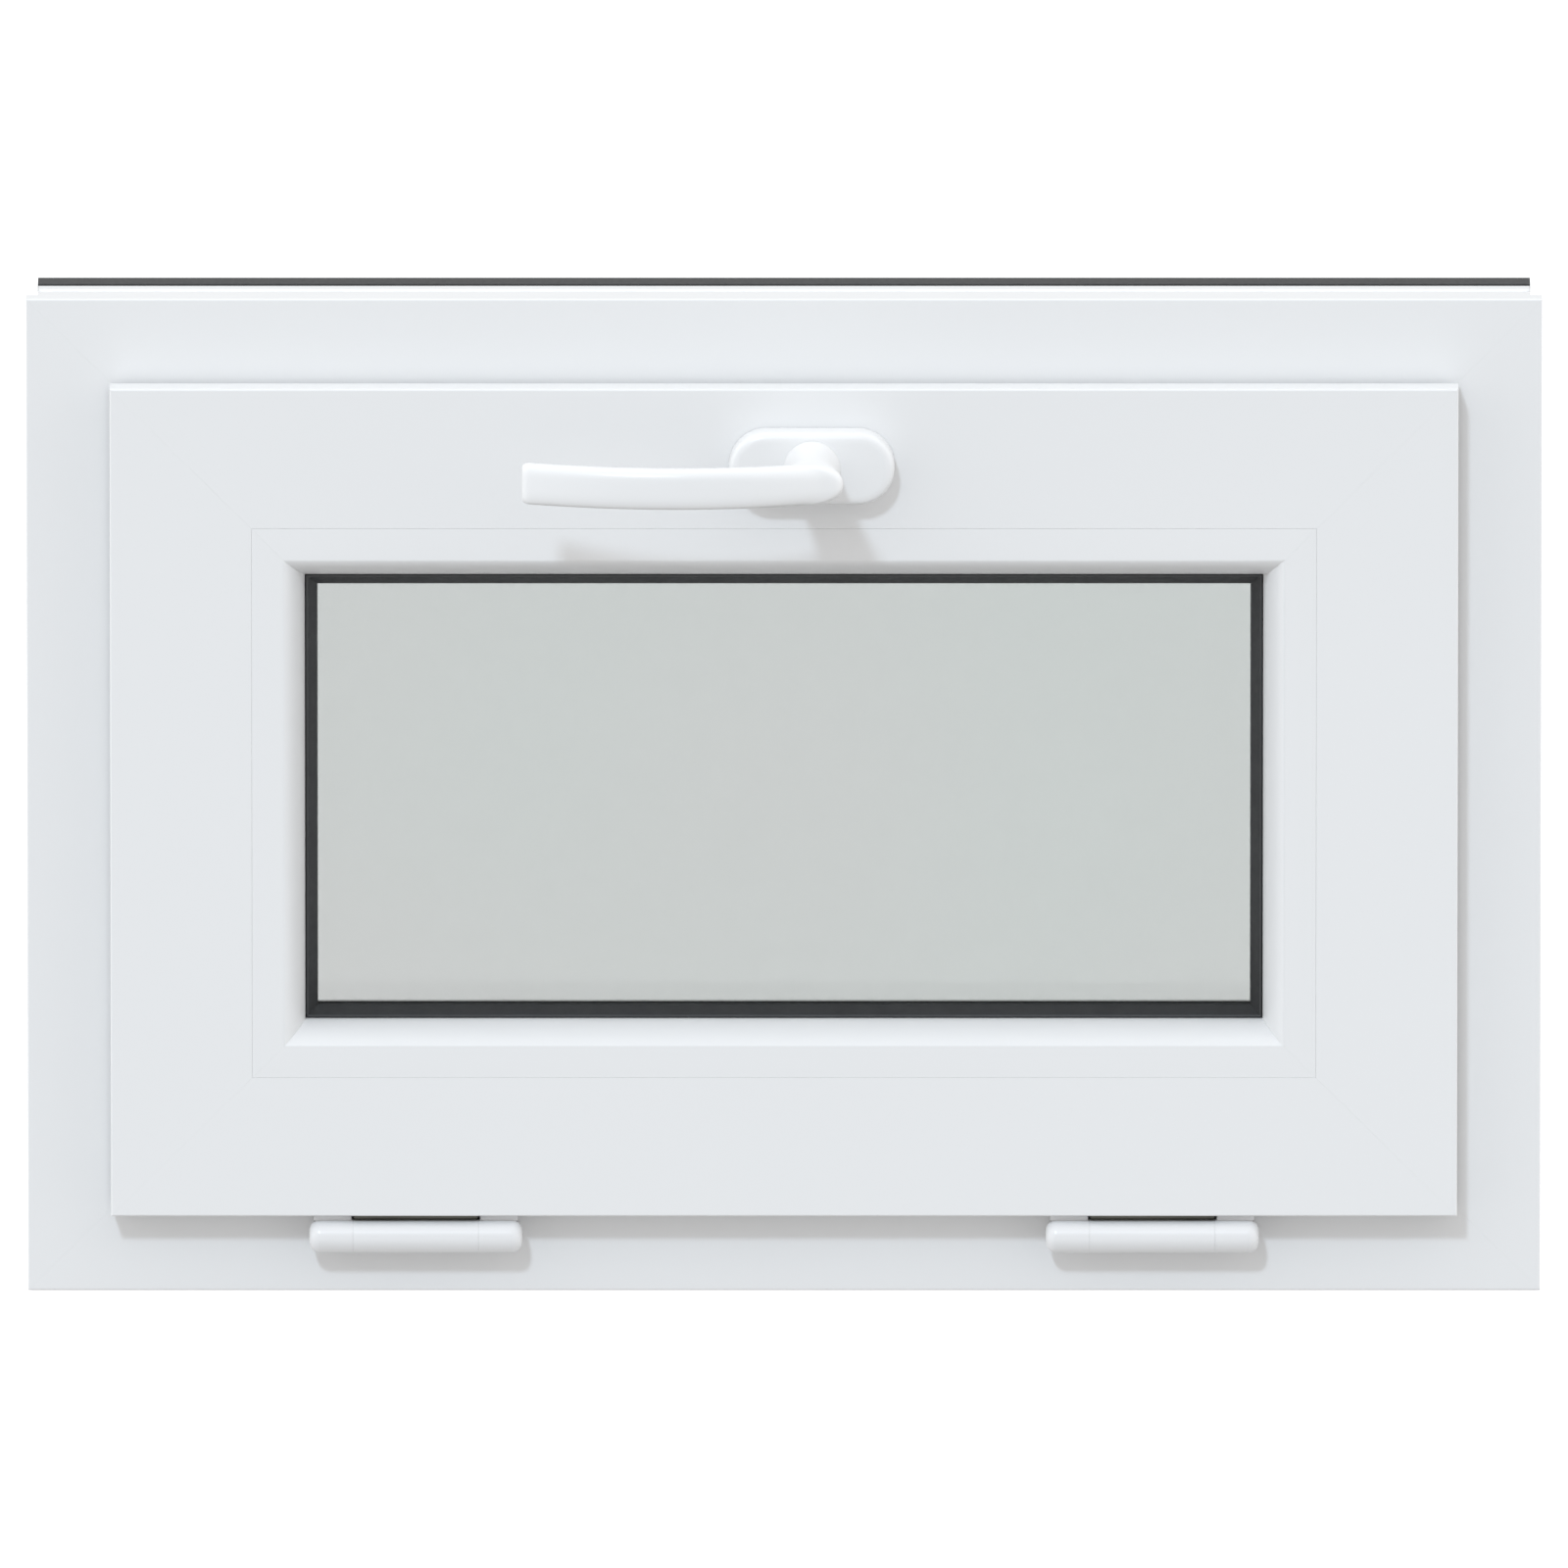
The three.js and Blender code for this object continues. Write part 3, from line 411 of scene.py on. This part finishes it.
BEAD_LEDGE, BEAD_SHOULDER = -40, -36.5
GLAZING_LEG = -1.5  # room side of the outside glazing leg


def block(u0, u1, v0, v1):
    return rounded([(u0, v0), (u1, v0), (u1, v1), (u0, v1)])


def fixing_groove(v):
    """Corners of the shallow groove that wall anchors clip into, on the frame's outer side."""
    mouth, floor, depth = 2.5, 1.9, 1.3
    return [(FRAME_SIDE, v + mouth, 0.3), (FRAME_SIDE + depth, v + floor, 0.2),
            (FRAME_SIDE + depth, v - floor, 0.2), (FRAME_SIDE, v - mouth, 0.3)]


FRAME_OUTLINE = rounded([
    (0, FACE, 0.8), (FRAME_REBATE, FACE, 0.9), (FRAME_REBATE, FRAME_STOP, 0.6),
    (54.4, FRAME_STOP, 0.3), (54.4, 15.8), (61.4, 15.8), (FRAME_LEG, FRAME_STOP, 0.3),
    (FRAME_LEG, 22, 2.5), (54, BACK, 2.5), (SEAL_SEAT, BACK, 0.8), (SEAL_SEAT, SEAL_FRONT, 0.3),
    (FRAME_SIDE, SEAL_FRONT, 0.3), *fixing_groove(8), *fixing_groove(-12),
    (FRAME_SIDE, -25, 0.6), (0, -25, 0.6),
])
FRAME_CHAMBERS = [
    block(8.6, 38.5, -32.2, -24.0), block(8.6, 38.5, -21.2, 8.0), block(9.8, 38.5, 10.8, 32.2),
    rounded([(41.3, 18.6), (59.2, 18.6), (59.2, 21.2), (52.3, 32.2), (41.3, 32.2)]),
]
SASH_OUTLINE = rounded([
    (SASH_EDGE, SASH_FACE, 0.7), (BEAD_LINE, SASH_FACE, 0.12), (BEAD_LINE, BEAD_LEDGE),
    (REBATE_BASE, BEAD_LEDGE), (REBATE_BASE, GLAZING_LEG), (BEAD_EDGE, GLAZING_LEG, 0.5),
    (BEAD_EDGE, 4, 2.5), (104, SASH_BACK, 2.5), (SASH_STEP, SASH_BACK, 0.8), (SASH_STEP, SASH_STOP, 0.4),
    (SASH_BODY, SASH_STOP, 0.6), (SASH_BODY, GROOVE_REAR, 0.5), (GROOVE_FLOOR, GROOVE_REAR, 0.3),
    (GROOVE_FLOOR, GROOVE_FRONT, 0.3), (SASH_BODY, GROOVE_FRONT, 0.5), (SASH_BODY, SASH_LIP_BACK, 0.3),
    (SASH_EDGE, SASH_LIP_BACK, 0.7),
])
SASH_CHAMBERS = [
    block(36.1, 56.1, -48.7, -40.3), block(58.9, 86.5, -48.7, -40.3), block(64.8, 89.2, -37.5, -18.3),
    block(64.8, 89.2, -15.5, 8.2), block(56.1, 62, -15.4, 8.2), block(66.8, 89.2, 11, 15.7),
    rounded([(92, 1.3), (107.5, 1.3), (107.5, 3.4), (102.2, 15.7), (92, 15.7)]),
]


def curve(start, pull_start, pull_end, end, steps):
    """Points along a cubic curve between two pulled ends."""
    points = []
    for i in range(steps + 1):
        t = i / steps
        pulls = pull_start * 3 * t * (1 - t) ** 2 + pull_end * 3 * t * t * (1 - t)
        points.append(start * (1 - t) ** 3 + pulls + end * t ** 3)
    return points


def bead_outline():
    """Nearly flat beside the sash, then a round shoulder that falls to the glazing gasket."""
    fit, heel, hairline = 0.3, -31.5, BEAD_LINE + 0.04
    edge = SASH_FACE + 0.05
    face = edge - 0.4
    shoulder = curve(Vector((101.8, face)), Vector((105.6, face + 1.9)),
                     Vector((109.5, -43.6)), Vector((BEAD_EDGE, BEAD_SHOULDER)), 14)
    return rounded([
        (REBATE_BASE + fit, heel), (REBATE_BASE + fit, BEAD_LEDGE - fit), (BEAD_LINE + fit, BEAD_LEDGE - fit),
        (hairline, -44), (hairline, edge, 0.1), *[(p.x, p.y) for p in shoulder], (BEAD_EDGE, heel, 0.3),
    ])


BEAD_OUTLINE = bead_outline()
BEAD_CHAMBERS = [
    rounded([(94.8, -48.4), (100.8, -48.4), (107.5, BEAD_SHOULDER), (107.5, -34.3), (94.8, -34.3)]),
]

for side in SIDES:
    place(mitred_length(f"frame_{side}_length", FRAME_OUTLINE, FRAME_CHAMBERS, side, PVC),
          "frame", "white_pvc", f"frame_{side}_profile")
    place(mitred_length(f"sash_{side}_length", SASH_OUTLINE, SASH_CHAMBERS, side, PVC),
          "sash", "white_pvc", f"sash_{side}_profile")
    place(mitred_length(f"bead_{side}_length", BEAD_OUTLINE, BEAD_CHAMBERS, side, PVC),
          "sash", "white_pvc", f"glazing_bead_{side}")


# ------------------------------------------------------------------ gaskets and seals

def gasket(name, body, corner_list, node):
    place(ring_sweep(name, rounded(corner_list, 5), RUBBER), body, "black_gasket", node)


gasket("bead_gasket_lip", "sash", [
    (106, -31.2, 0.2), (106, -28.8, 0.2), (114.6, -28.8, 0.2), (114.9, -29.3, 0.2),
    (115.3, -30.1, 0.3), (115.0, -32.1, 1.0), (111.6, -35.9, 0.6), (110.6, -36.4, 0.4),
    (110.6, -31.2, 0.2),
], "glazing_bead_gasket")
gasket("outer_glazing_lip", "sash", [
    (101, -4.2, 0.2), (110.9, -4.2, 0.3), (111.2, -3.1, 0.5), (110.7, -1.8, 0.3),
    (101, -1.8, 0.2),
], "outer_glazing_gasket")
gasket("frame_gasket_bulb", "frame", [
    (55, 14.7, 0.3), (55.2, 12.6, 1.0), (56.8, 11.35, 0.9), (59.2, 11.35, 0.9),
    (60.8, 12.6, 1.0), (61, 14.7, 0.3),
], "frame_gasket")
gasket("sash_gasket_lip", "sash", [
    (35.5, -37.2, 0.2), (41, -37.2, 0.2), (40.1, -36.2, 0.6), (38.6, -35.35, 0.5),
    (36.9, -35.35, 0.6),
], "sash_gasket")


def perimeter_tape():
    """Sealing tape up one side, along the top and down the other side."""
    low, high = span("perimeter_seal")
    thick, corner = 2.5, 0.35
    outer = (HALF_WIDTH - high.x) / MM
    inner = outer + thick
    front, back = low.y / MM, high.y / MM
    section = rounded([(outer, front, corner), (inner, front, corner), (inner, back, corner),
                       (outer, back, corner)], 3)
    rings = []
    for sign, at_foot in ((-1, True), (-1, False), (1, False), (1, True)):
        rings.append([
            Vector((sign * (HALF_WIDTH - p.x), p.y, low.z if at_foot else HEIGHT - p.x)) for p in section])
    return loft("perimeter_tape", rings, FOAM)


place(perimeter_tape(), "frame", "grey_seal", "perimeter_seal")


def extruded(name, outline, x0, x1, material, bevel):
    """An outline in Y and Z carried along X, with its ends chamfered."""
    outline = counter_clockwise(outline)
    small = shrunk(outline, bevel)
    rings = []
    for x, points in ((x0, small), (x0 + bevel, outline), (x1 - bevel, outline), (x1, small)):
        rings.append([Vector((x, p.x, p.y)) for p in points])
    return loft(name, rings, material)


def sill_profile():
    """Ribbed packing strip under the frame, stepped up at the back."""
    low, high = span("sill_strip")
    front, back, top = low.y / MM, high.y / MM, high.z / MM
    tread, riser = 4.2, SEAL_FRONT + 0.3
    rib_pitch, rib_height = 9.5, 1.1
    ribs = []
    for i in range(5):
        y = back - 8 - rib_pitch * i
        ribs += [(y, 0, 0.2), (y - 0.6, rib_height, 0.2), (y - 2.4, rib_height, 0.2), (y - 3, 0, 0.2)]
    outline = rounded([(front, tread, 0.3), (riser, tread), (riser, top, 0.3), (back, top, 0.3),
                       (back, 0, 0.3), *ribs, (front, 0, 0.3)], 2)
    return extruded("sill_packing_strip", outline, low.x, high.x, PVC, 0.3 * MM)


place(sill_profile(), "frame", "white_pvc", "sill_strip")


# ------------------------------------------------------------------ drain caps

def stadium_ring(centre, half_length, half_width, count=48):
    """Points round a bar with round ends, in X and Z, at even steps of angle about its middle."""
    straight = half_length - half_width
    points = []
    for i in range(count):
        turn = 2 * math.pi * (i + 0.5) / count
        x = half_width * math.cos(turn) + math.copysign(straight, math.cos(turn))
        points.append(Vector((centre.x + x, 0, centre.z + half_width * math.sin(turn))))
    return points


def at_depth(ring, y):
    return [Vector((p.x, y, p.z)) for p in ring]


def drain_cap(side):
    """Domed cap with two weep slots, which are not cut: a sunk black lozenge in each is painted shade for the
    open slot.
    """
    low, high = span(f"drain_cap_{side}")
    centre = (low + high) / 2
    half_length, half_width = (high.x - low.x) / 2, (high.z - low.z) / 2
    dome = ((0.3, 0), (0, 0.3), (0, 1.6), (0.25, 2.5), (0.9, 3.3), (1.9, 3.75), (2.9, 3.8))
    rings = []
    for inset, height in dome:
        ring = stadium_ring(centre, half_length - inset * MM, half_width - inset * MM)
        rings.append(at_depth(ring, low.y + height * MM))
    cap = loft(f"drain_hood_{side}", rings, PVC)
    place(cap, "frame", "white_pvc", f"drain_cap_{side}")
    # Painted shade: black lozenges stand for the dark inside of the weep slots.
    for sign, tag in ((-1, "left"), (1, "right")):
        slot_centre = Vector((centre.x + sign * 6.5 * MM, 0, low.z + 2.6 * MM))
        slot_shade_rings = []
        for inset, sunk in ((0, 1.6), (0, 0.12), (0.25, 0.02)):
            ring = stadium_ring(slot_centre, (4.2 - inset) * MM, (0.75 - inset) * MM, 32)
            slot_shade_rings.append(at_depth(ring, high.y - sunk * MM))
        place(loft(f"drain_slot_shade_{side}_{tag}", slot_shade_rings, RUBBER), "frame", "black_gasket")


for side in ("left", "right"):
    drain_cap(side)


# ------------------------------------------------------------------ hinges

SLEEVE_RADIUS, SLEEVE_BORE = 6.7, 3.0
SLEEVE_EDGE = 0.1  # rounding where two sleeves meet
CENTRE_HALF, END_START, END_TIP = 24.84, 24.88, 42.2
LINK_START, LINK_END = 25.4, 40.4


def lathe(name, profile, centre, sign, material):
    """A profile of (distance along X, radius) in millimetres, turned about the hinge axis."""
    steps = 56
    vertices = []
    for x, radius in profile:
        for i in range(steps):
            turn = 2 * math.pi * i / steps
            offset = Vector((sign * x, radius * math.cos(turn), radius * math.sin(turn)))
            vertices.append(centre + offset * MM)
    return make_object(name, vertices, bridge(steps, len(profile), closed=True), material, 50.0)


def end_sleeve():
    """Outer sleeve: a bore for the pin, and a domed end."""
    dome, dome_steps, bore_end = 4.4, 8, 38.6
    profile = [(END_START, SLEEVE_BORE), (END_START, SLEEVE_RADIUS - 0.08),
               (END_START + SLEEVE_EDGE, SLEEVE_RADIUS)]
    for i in range(dome_steps + 1):
        turn = math.pi / 2 * i / dome_steps
        profile.append((END_TIP - dome + dome * math.sin(turn), SLEEVE_RADIUS - dome + dome * math.cos(turn)))
    return profile + [(END_TIP, 0), (bore_end, 0), (bore_end, SLEEVE_BORE)]


def centre_sleeve():
    rim = [(CENTRE_HALF, SLEEVE_BORE), (CENTRE_HALF, SLEEVE_RADIUS - 0.08),
           (CENTRE_HALF - SLEEVE_EDGE, SLEEVE_RADIUS)]
    return rim + [(-x, r) for x, r in reversed(rim)]


def hinge(side):
    """Three sleeves on a pin: the outer two on a plate on the frame, the middle one on a dark web."""
    low, high = span(f"hinge_{side}_pin")
    centre = (low + high) / 2
    plate_back = (FRAME_LOW.y - centre.y) / MM - 0.3
    plate_front = plate_back - 2.9
    web_top = (SASH_LOW.z - centre.z) / MM - 0.3
    foot = web_top - 1.6

    def at(points):
        """An outline from corners measured from the hinge axis."""
        return rounded([(centre.y / MM + p[0], centre.z / MM + p[1], p[2]) for p in points], 3)

    plate = at([(plate_back, -6, 0.4), (plate_back, 5.6, 0.4), (plate_front, 5.6, 0.8), (plate_front, -6, 0.8)])
    link = at([(plate_back - 1.0, -4, 0.2), (plate_back - 1.0, 8, 0.2), (-0.8, 8.3, 0.3), (-0.8, 6.3, 0.2),
               (3.5, 5.6, 0.2), (3.5, -3.4, 0.2), (plate_back - 3.4, -4, 0.8)])
    web = at([(-0.4, 5.9, 0.2), (3.4, 5.4, 0.2), (3.4, foot, 0.6), (6.5, foot, 0.3),
              (6.5, web_top, 0.2), (-3.4, web_top, 0.2), (-3.4, foot + 0.4, 0.3), (-0.4, foot, 0.6)])
    leaf = f"hinge_{side}_frame_leaf"
    plate_half, web_half = 38.2 * MM, 24.6 * MM
    place(extruded(f"hinge_{side}_plate", plate, centre.x - plate_half, centre.x + plate_half, HINGE, 0.4 * MM),
          "frame", "white_hinge", leaf)
    for sign, tag in ((-1, "left"), (1, "right")):
        place(lathe(f"hinge_{side}_sleeve_{tag}", end_sleeve(), centre, sign, HINGE),
              "frame", "white_hinge", leaf, f"hinge_{side}_cap_{tag}")
        ends = sorted((centre.x + sign * LINK_START * MM, centre.x + sign * LINK_END * MM))
        place(extruded(f"hinge_{side}_link_{tag}", link, *ends, HINGE, 0.3 * MM),
              "frame", "white_hinge", leaf)
    place(lathe(f"hinge_{side}_centre_sleeve", centre_sleeve(), centre, 1, HINGE),
          "sash", "white_hinge", f"hinge_{side}_sash_leaf")
    place(extruded(f"hinge_{side}_web", web, centre.x - web_half, centre.x + web_half, DARK, 0.3 * MM),
          "sash", "dark_steel", f"hinge_{side}_sash_leaf")


hinge("left")
hinge("right")


# ------------------------------------------------------------------ handle

RING_POINTS = 64


def circle_ring(centre, radius, y):
    """A circle with its points at the same angles as a stadium ring's."""
    points = []
    for i in range(RING_POINTS):
        turn = 2 * math.pi * (i + 0.5) / RING_POINTS
        points.append(Vector((centre.x + radius * math.cos(turn), y, centre.z + radius * math.sin(turn))))
    return points


def rosette():
    """Oval cover with a pillowed edge, bored for the lever's neck and hollow behind."""
    low, high = ROSETTE_LOW, ROSETTE_HIGH
    front = (high.y - low.y) / MM
    half_length, half_width = (high.x - low.x) / 2, (high.z - low.z) / 2
    centre = (low + high) / 2
    rings = []

    def oval(inset, height):
        ring = stadium_ring(centre, half_length - inset * MM, half_width - inset * MM, RING_POINTS)
        rings.append(at_depth(ring, high.y - height * MM))

    oval(0.2, 0)
    oval(0, 0.25)
    pillow = ((0.08, 3.6), (0.2, 2.6), (0.5, 1.7), (1.0, 1.0), (1.7, 0.5), (2.6, 0.2), (3.4, 0.06), (4, 0))
    for inset, below in pillow:
        oval(inset, front - below)
    for radius, depth in ((10.5, 0), (10.2, 0.25), (10.1, 2.9)):
        rings.append(circle_ring(centre, radius * MM, low.y + depth * MM))
    wall, shell = 3.2, 3
    oval(wall, front - shell)
    oval(wall, 0)
    vertices = [p for ring in rings for p in ring]
    return make_object("rosette_shell", vertices, bridge(RING_POINTS, len(rings), closed=True), POWDER, 32.0)


def catmull_rom(p, q, r, s, t):
    """A value between q and r, with p and s before and after them."""
    square, cube = 2 * p - 5 * q + 4 * r - s, 3 * q - p - 3 * r + s
    return 0.5 * (2 * q + (r - p) * t + square * t * t + cube * t ** 3)


def between(rows, steps):
    """The given rows with smooth ones between them."""
    padded = [rows[0], *rows, rows[-1]]
    result = []
    for i in range(1, len(rows)):
        for k in range(steps):
            result.append([catmull_rom(*values, k / steps) for values in zip(*padded[i - 1:i + 3])])
    return result + [rows[-1]]


# A row across the lever is (outer X, outer distance, inner X, inner distance, rise, half height,
# squareness), in millimetres from the spindle's axis and, for the distances, from the sash face.
NECK_RADIUS = 9.75
GRIP_RIGHT, GRIP_LEFT = 10.0, -114.4
GRIP_BACK, GRIP_THICK, GRIP_BOW = 52.0, 10.0, 12.85
GRIP_RISE, GRIP_HALF = 3.2, 8.1


def bow(x):
    """How far the grip stands further out than at its ends."""
    share = (x - GRIP_RIGHT) / (GRIP_LEFT - GRIP_RIGHT)
    return 4 * GRIP_BOW * share * (1 - share)


def stem(radius, outer, inner, rise, half_height, squareness=2.0):
    """A row across the round neck, at its two distances from the sash."""
    return (radius, outer, -radius, inner, rise, half_height, squareness)


def grip(outer_x, inner_x, squareness, inset=0.0):
    """A row across the bowed grip, made smaller by the inset."""
    outer, inner = GRIP_BACK + GRIP_THICK + bow(outer_x) - inset, GRIP_BACK + bow(inner_x) + inset
    return (outer_x, outer, inner_x, inner, GRIP_RISE, GRIP_HALF - inset, squareness)


def section(row):
    """A rounded section across the lever, between the outer and the inner point of its row."""
    outer_x, outer_d, inner_x, inner_d, rise, half_height, squareness = row
    outer = Vector((outer_x, -outer_d, rise)) * MM
    inner = Vector((inner_x, -inner_d, rise)) * MM
    middle, reach = (outer + inner) / 2, (outer - inner) / 2
    base = Vector((SPINDLE.x, SASH_LOW.y, SPINDLE.z))
    points = []
    for i in range(RING_POINTS):
        turn = 2 * math.pi * i / RING_POINTS
        c, s = math.cos(turn), math.sin(turn)
        across = math.copysign(abs(c) ** (2 / squareness), c)
        up = math.copysign(abs(s) ** (2 / squareness), s) * half_height * MM
        points.append(base + middle + reach * across + Vector((0, 0, up)))
    return points


def lever_skin():
    """Round neck with a flared foot, an elbow, and a bowed grip that ends flat."""
    neck = [stem(NECK_RADIUS, distance, distance, 0, NECK_RADIUS) for distance in (6.0, 12.02)]
    foot = [stem(11.4, 12.06, 12.06, 0, 11.4), stem(10.9, 14.0, 14.0, 0, 10.9)]
    shaft = [stem(10.2, 19.0, 19.0, 0.2, 10.1), stem(9.8, 26.0, 25.5, 0.6, 9.5),
             stem(9.8, 34.0, 33.0, 1.1, 9.2), stem(10.2, 42.5, 40.5, 1.8, 8.85),
             stem(10.9, 49.5, 47.0, 2.4, 8.5, 2.05)]
    elbow = [(11.8, 55.6, -12.6, 53.2, 2.9, 8.3, 2.15), (12.2, 60.0, -16.0, 58.0, 3.1, 8.15, 2.25),
             (9.6, 62.9, -20.4, 61.2, GRIP_RISE, GRIP_HALF, 2.4), grip(3.4, -25.6, 2.55),
             grip(-5.0, -31.0, 2.7), grip(-15.0, -36.5, 2.85), grip(-28.0, -42.0, 3.0)]
    straight = [grip(x, x, 3.2) for x in (-47, -58, -70, -82, -94, -104)] + [grip(-111.6, -111.6, 3.4)]
    end = ((-112.9, 0.2), (-113.8, 0.7), (-114.25, 1.4), (GRIP_LEFT, 2.3))
    rows = neck + between(foot + shaft + elbow + straight, 4)
    rows += [grip(x, x, 3.4, inset) for x, inset in end]
    return loft("lever_skin", [section(row) for row in rows], POWDER, 50.0)


place(rosette(), "sash", "white_handle", "rosette_cover")
place(lever_skin(), "handle", "white_handle", "handle_lever")


# ------------------------------------------------------------------ glass

def pane(name, node):
    """A sheet with ground edges."""
    low, high = span(node)
    ground = 0.5 * MM
    rings = []
    for inset, y in ((ground, low.y), (0, low.y + ground), (0, high.y - ground), (ground, high.y)):
        x0, x1, z0, z1 = low.x + inset, high.x - inset, low.z + inset, high.z - inset
        rings.append([Vector((x, y, z)) for x, z in ((x0, z0), (x1, z0), (x1, z1), (x0, z1))])
    place(loft(name, rings, GLASS, 20.0), "sash", "glass", node)


pane("inner_sheet", "inner_pane")
pane("outer_sheet", "outer_pane")


# ------------------------------------------------------------------ carried-over metal and plastic

replaced = {node for obj in bpy.data.objects for node in obj.get("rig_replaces", [])}
for part in frame["record"]["subparts"]:
    if part["node"] in replaced:
        continue
    node = frame["nodes"][part["node"]]
    node.data.materials.clear()
    node.data.materials.append(SLOT_MATERIALS[part["material_slot"]])
    bevel = node.modifiers.new("soft_edges", "BEVEL")
    bevel.width = 0.25 * MM
    bevel.segments = 2
    bevel.limit_method = "ANGLE"
    bevel.angle_limit = math.radians(40)
    bevel.harden_normals = False


# ------------------------------------------------------------------ studio

def floor():
    """Pale floor that stays white right up to the window."""
    radius, steps, z = 6.0, 96, -0.5 * MM
    vertices = [(0, 0, z)]
    for i in range(steps):
        turn = 2 * math.pi * i / steps
        vertices.append((radius * math.cos(turn), radius * math.sin(turn), z))
    faces = [(0, 1 + i, 1 + (i + 1) % steps) for i in range(steps)]
    mesh = bpy.data.meshes.new("floor")
    mesh.from_pydata(vertices, [], faces)
    obj = bpy.data.objects.new("floor", mesh)
    bpy.context.scene.collection.objects.link(obj)
    material, tree, shader = new_material("floor_paint", 0.9)
    vary_colour(tree, shader, noise_node(tree, 1.5), (0.6, 0.6, 0.6), (0.62, 0.62, 0.62))
    shader.inputs["Emission Color"].default_value = (1, 1, 1, 1)
    shader.inputs["Emission Strength"].default_value = 0.65
    obj.data.materials.append(material)
    obj.visible_diffuse = False


def grey(level):
    return (level, level, level, 1.0)


def soft_sky():
    """Even studio light, strong from above and from both sides and weaker from the front and below."""
    below, level, above, sides = grey(0.36), grey(0.25), grey(1.08), grey(1.3)
    world = bpy.data.worlds.new("studio")
    bpy.context.scene.world = world
    world.use_nodes = True
    tree = world.node_tree
    place_in = tree.nodes.new("ShaderNodeTexCoord")
    split = tree.nodes.new("ShaderNodeSeparateXYZ")
    height = tree.nodes.new("ShaderNodeMapRange")
    height.inputs["From Min"].default_value = -1.0
    shades = tree.nodes.new("ShaderNodeValToRGB")
    elements = shades.color_ramp.elements
    elements[0].color, elements[1].color = below, above
    elements.new(0.5).color = level
    sideways = tree.nodes.new("ShaderNodeMath")
    sideways.operation = "MULTIPLY"
    side_light = tree.nodes.new("ShaderNodeBackground")
    side_light.inputs["Color"].default_value = sides
    total = tree.nodes.new("ShaderNodeAddShader")
    links = tree.links
    links.new(place_in.outputs["Generated"], split.inputs["Vector"])
    links.new(split.outputs["Z"], height.inputs["Value"])
    links.new(height.outputs["Result"], shades.inputs["Fac"])
    links.new(shades.outputs["Color"], tree.nodes["Background"].inputs["Color"])
    links.new(split.outputs["X"], sideways.inputs[0])
    links.new(split.outputs["X"], sideways.inputs[1])
    links.new(sideways.outputs["Value"], side_light.inputs["Strength"])
    links.new(tree.nodes["Background"].outputs["Background"], total.inputs[0])
    links.new(side_light.outputs["Background"], total.inputs[1])
    links.new(total.outputs["Shader"], tree.nodes["World Output"].inputs["Surface"])


def key_light():
    """Cool sun over the left shoulder; a shadow falls 0.78 down and 0.27 right for each unit of depth."""
    right, down = 0.27, 0.78
    data = bpy.data.lights.new("key", "SUN")
    data.energy = 0.86
    data.color = (0.857, 1.0, 1.14)
    data.angle = math.radians(6)
    obj = bpy.data.objects.new("key", data)
    bpy.context.scene.collection.objects.link(obj)
    travel = Vector((right, 1.0, -down))
    obj.rotation_euler = travel.to_track_quat("-Z", "Y").to_euler()


def camera():
    """Long lens, square on, from a little above, aimed at the middle of what it sees of the window."""
    elevation, distance, lens = math.radians(11), 25.0, 1447.0
    seal_high = span("perimeter_seal")[1]
    top = seal_high.z * math.cos(elevation) + seal_high.y * math.sin(elevation)
    bottom = FRAME_LOW.y * math.sin(elevation)
    target = Vector((0, 0, (top + bottom) / 2 / math.cos(elevation)))
    data = bpy.data.cameras.new("camera")
    data.lens = lens
    data.sensor_width = 36
    data.clip_end = 100
    obj = bpy.data.objects.new("camera", data)
    bpy.context.scene.collection.objects.link(obj)
    away = Vector((0, -math.cos(elevation), math.sin(elevation)))
    obj.location = target + away * distance
    obj.rotation_euler = (-away).to_track_quat("-Z", "Y").to_euler()
    bpy.context.scene.camera = obj


floor()
soft_sky()
key_light()
camera()
bpy.context.scene.view_settings.view_transform = "Standard"
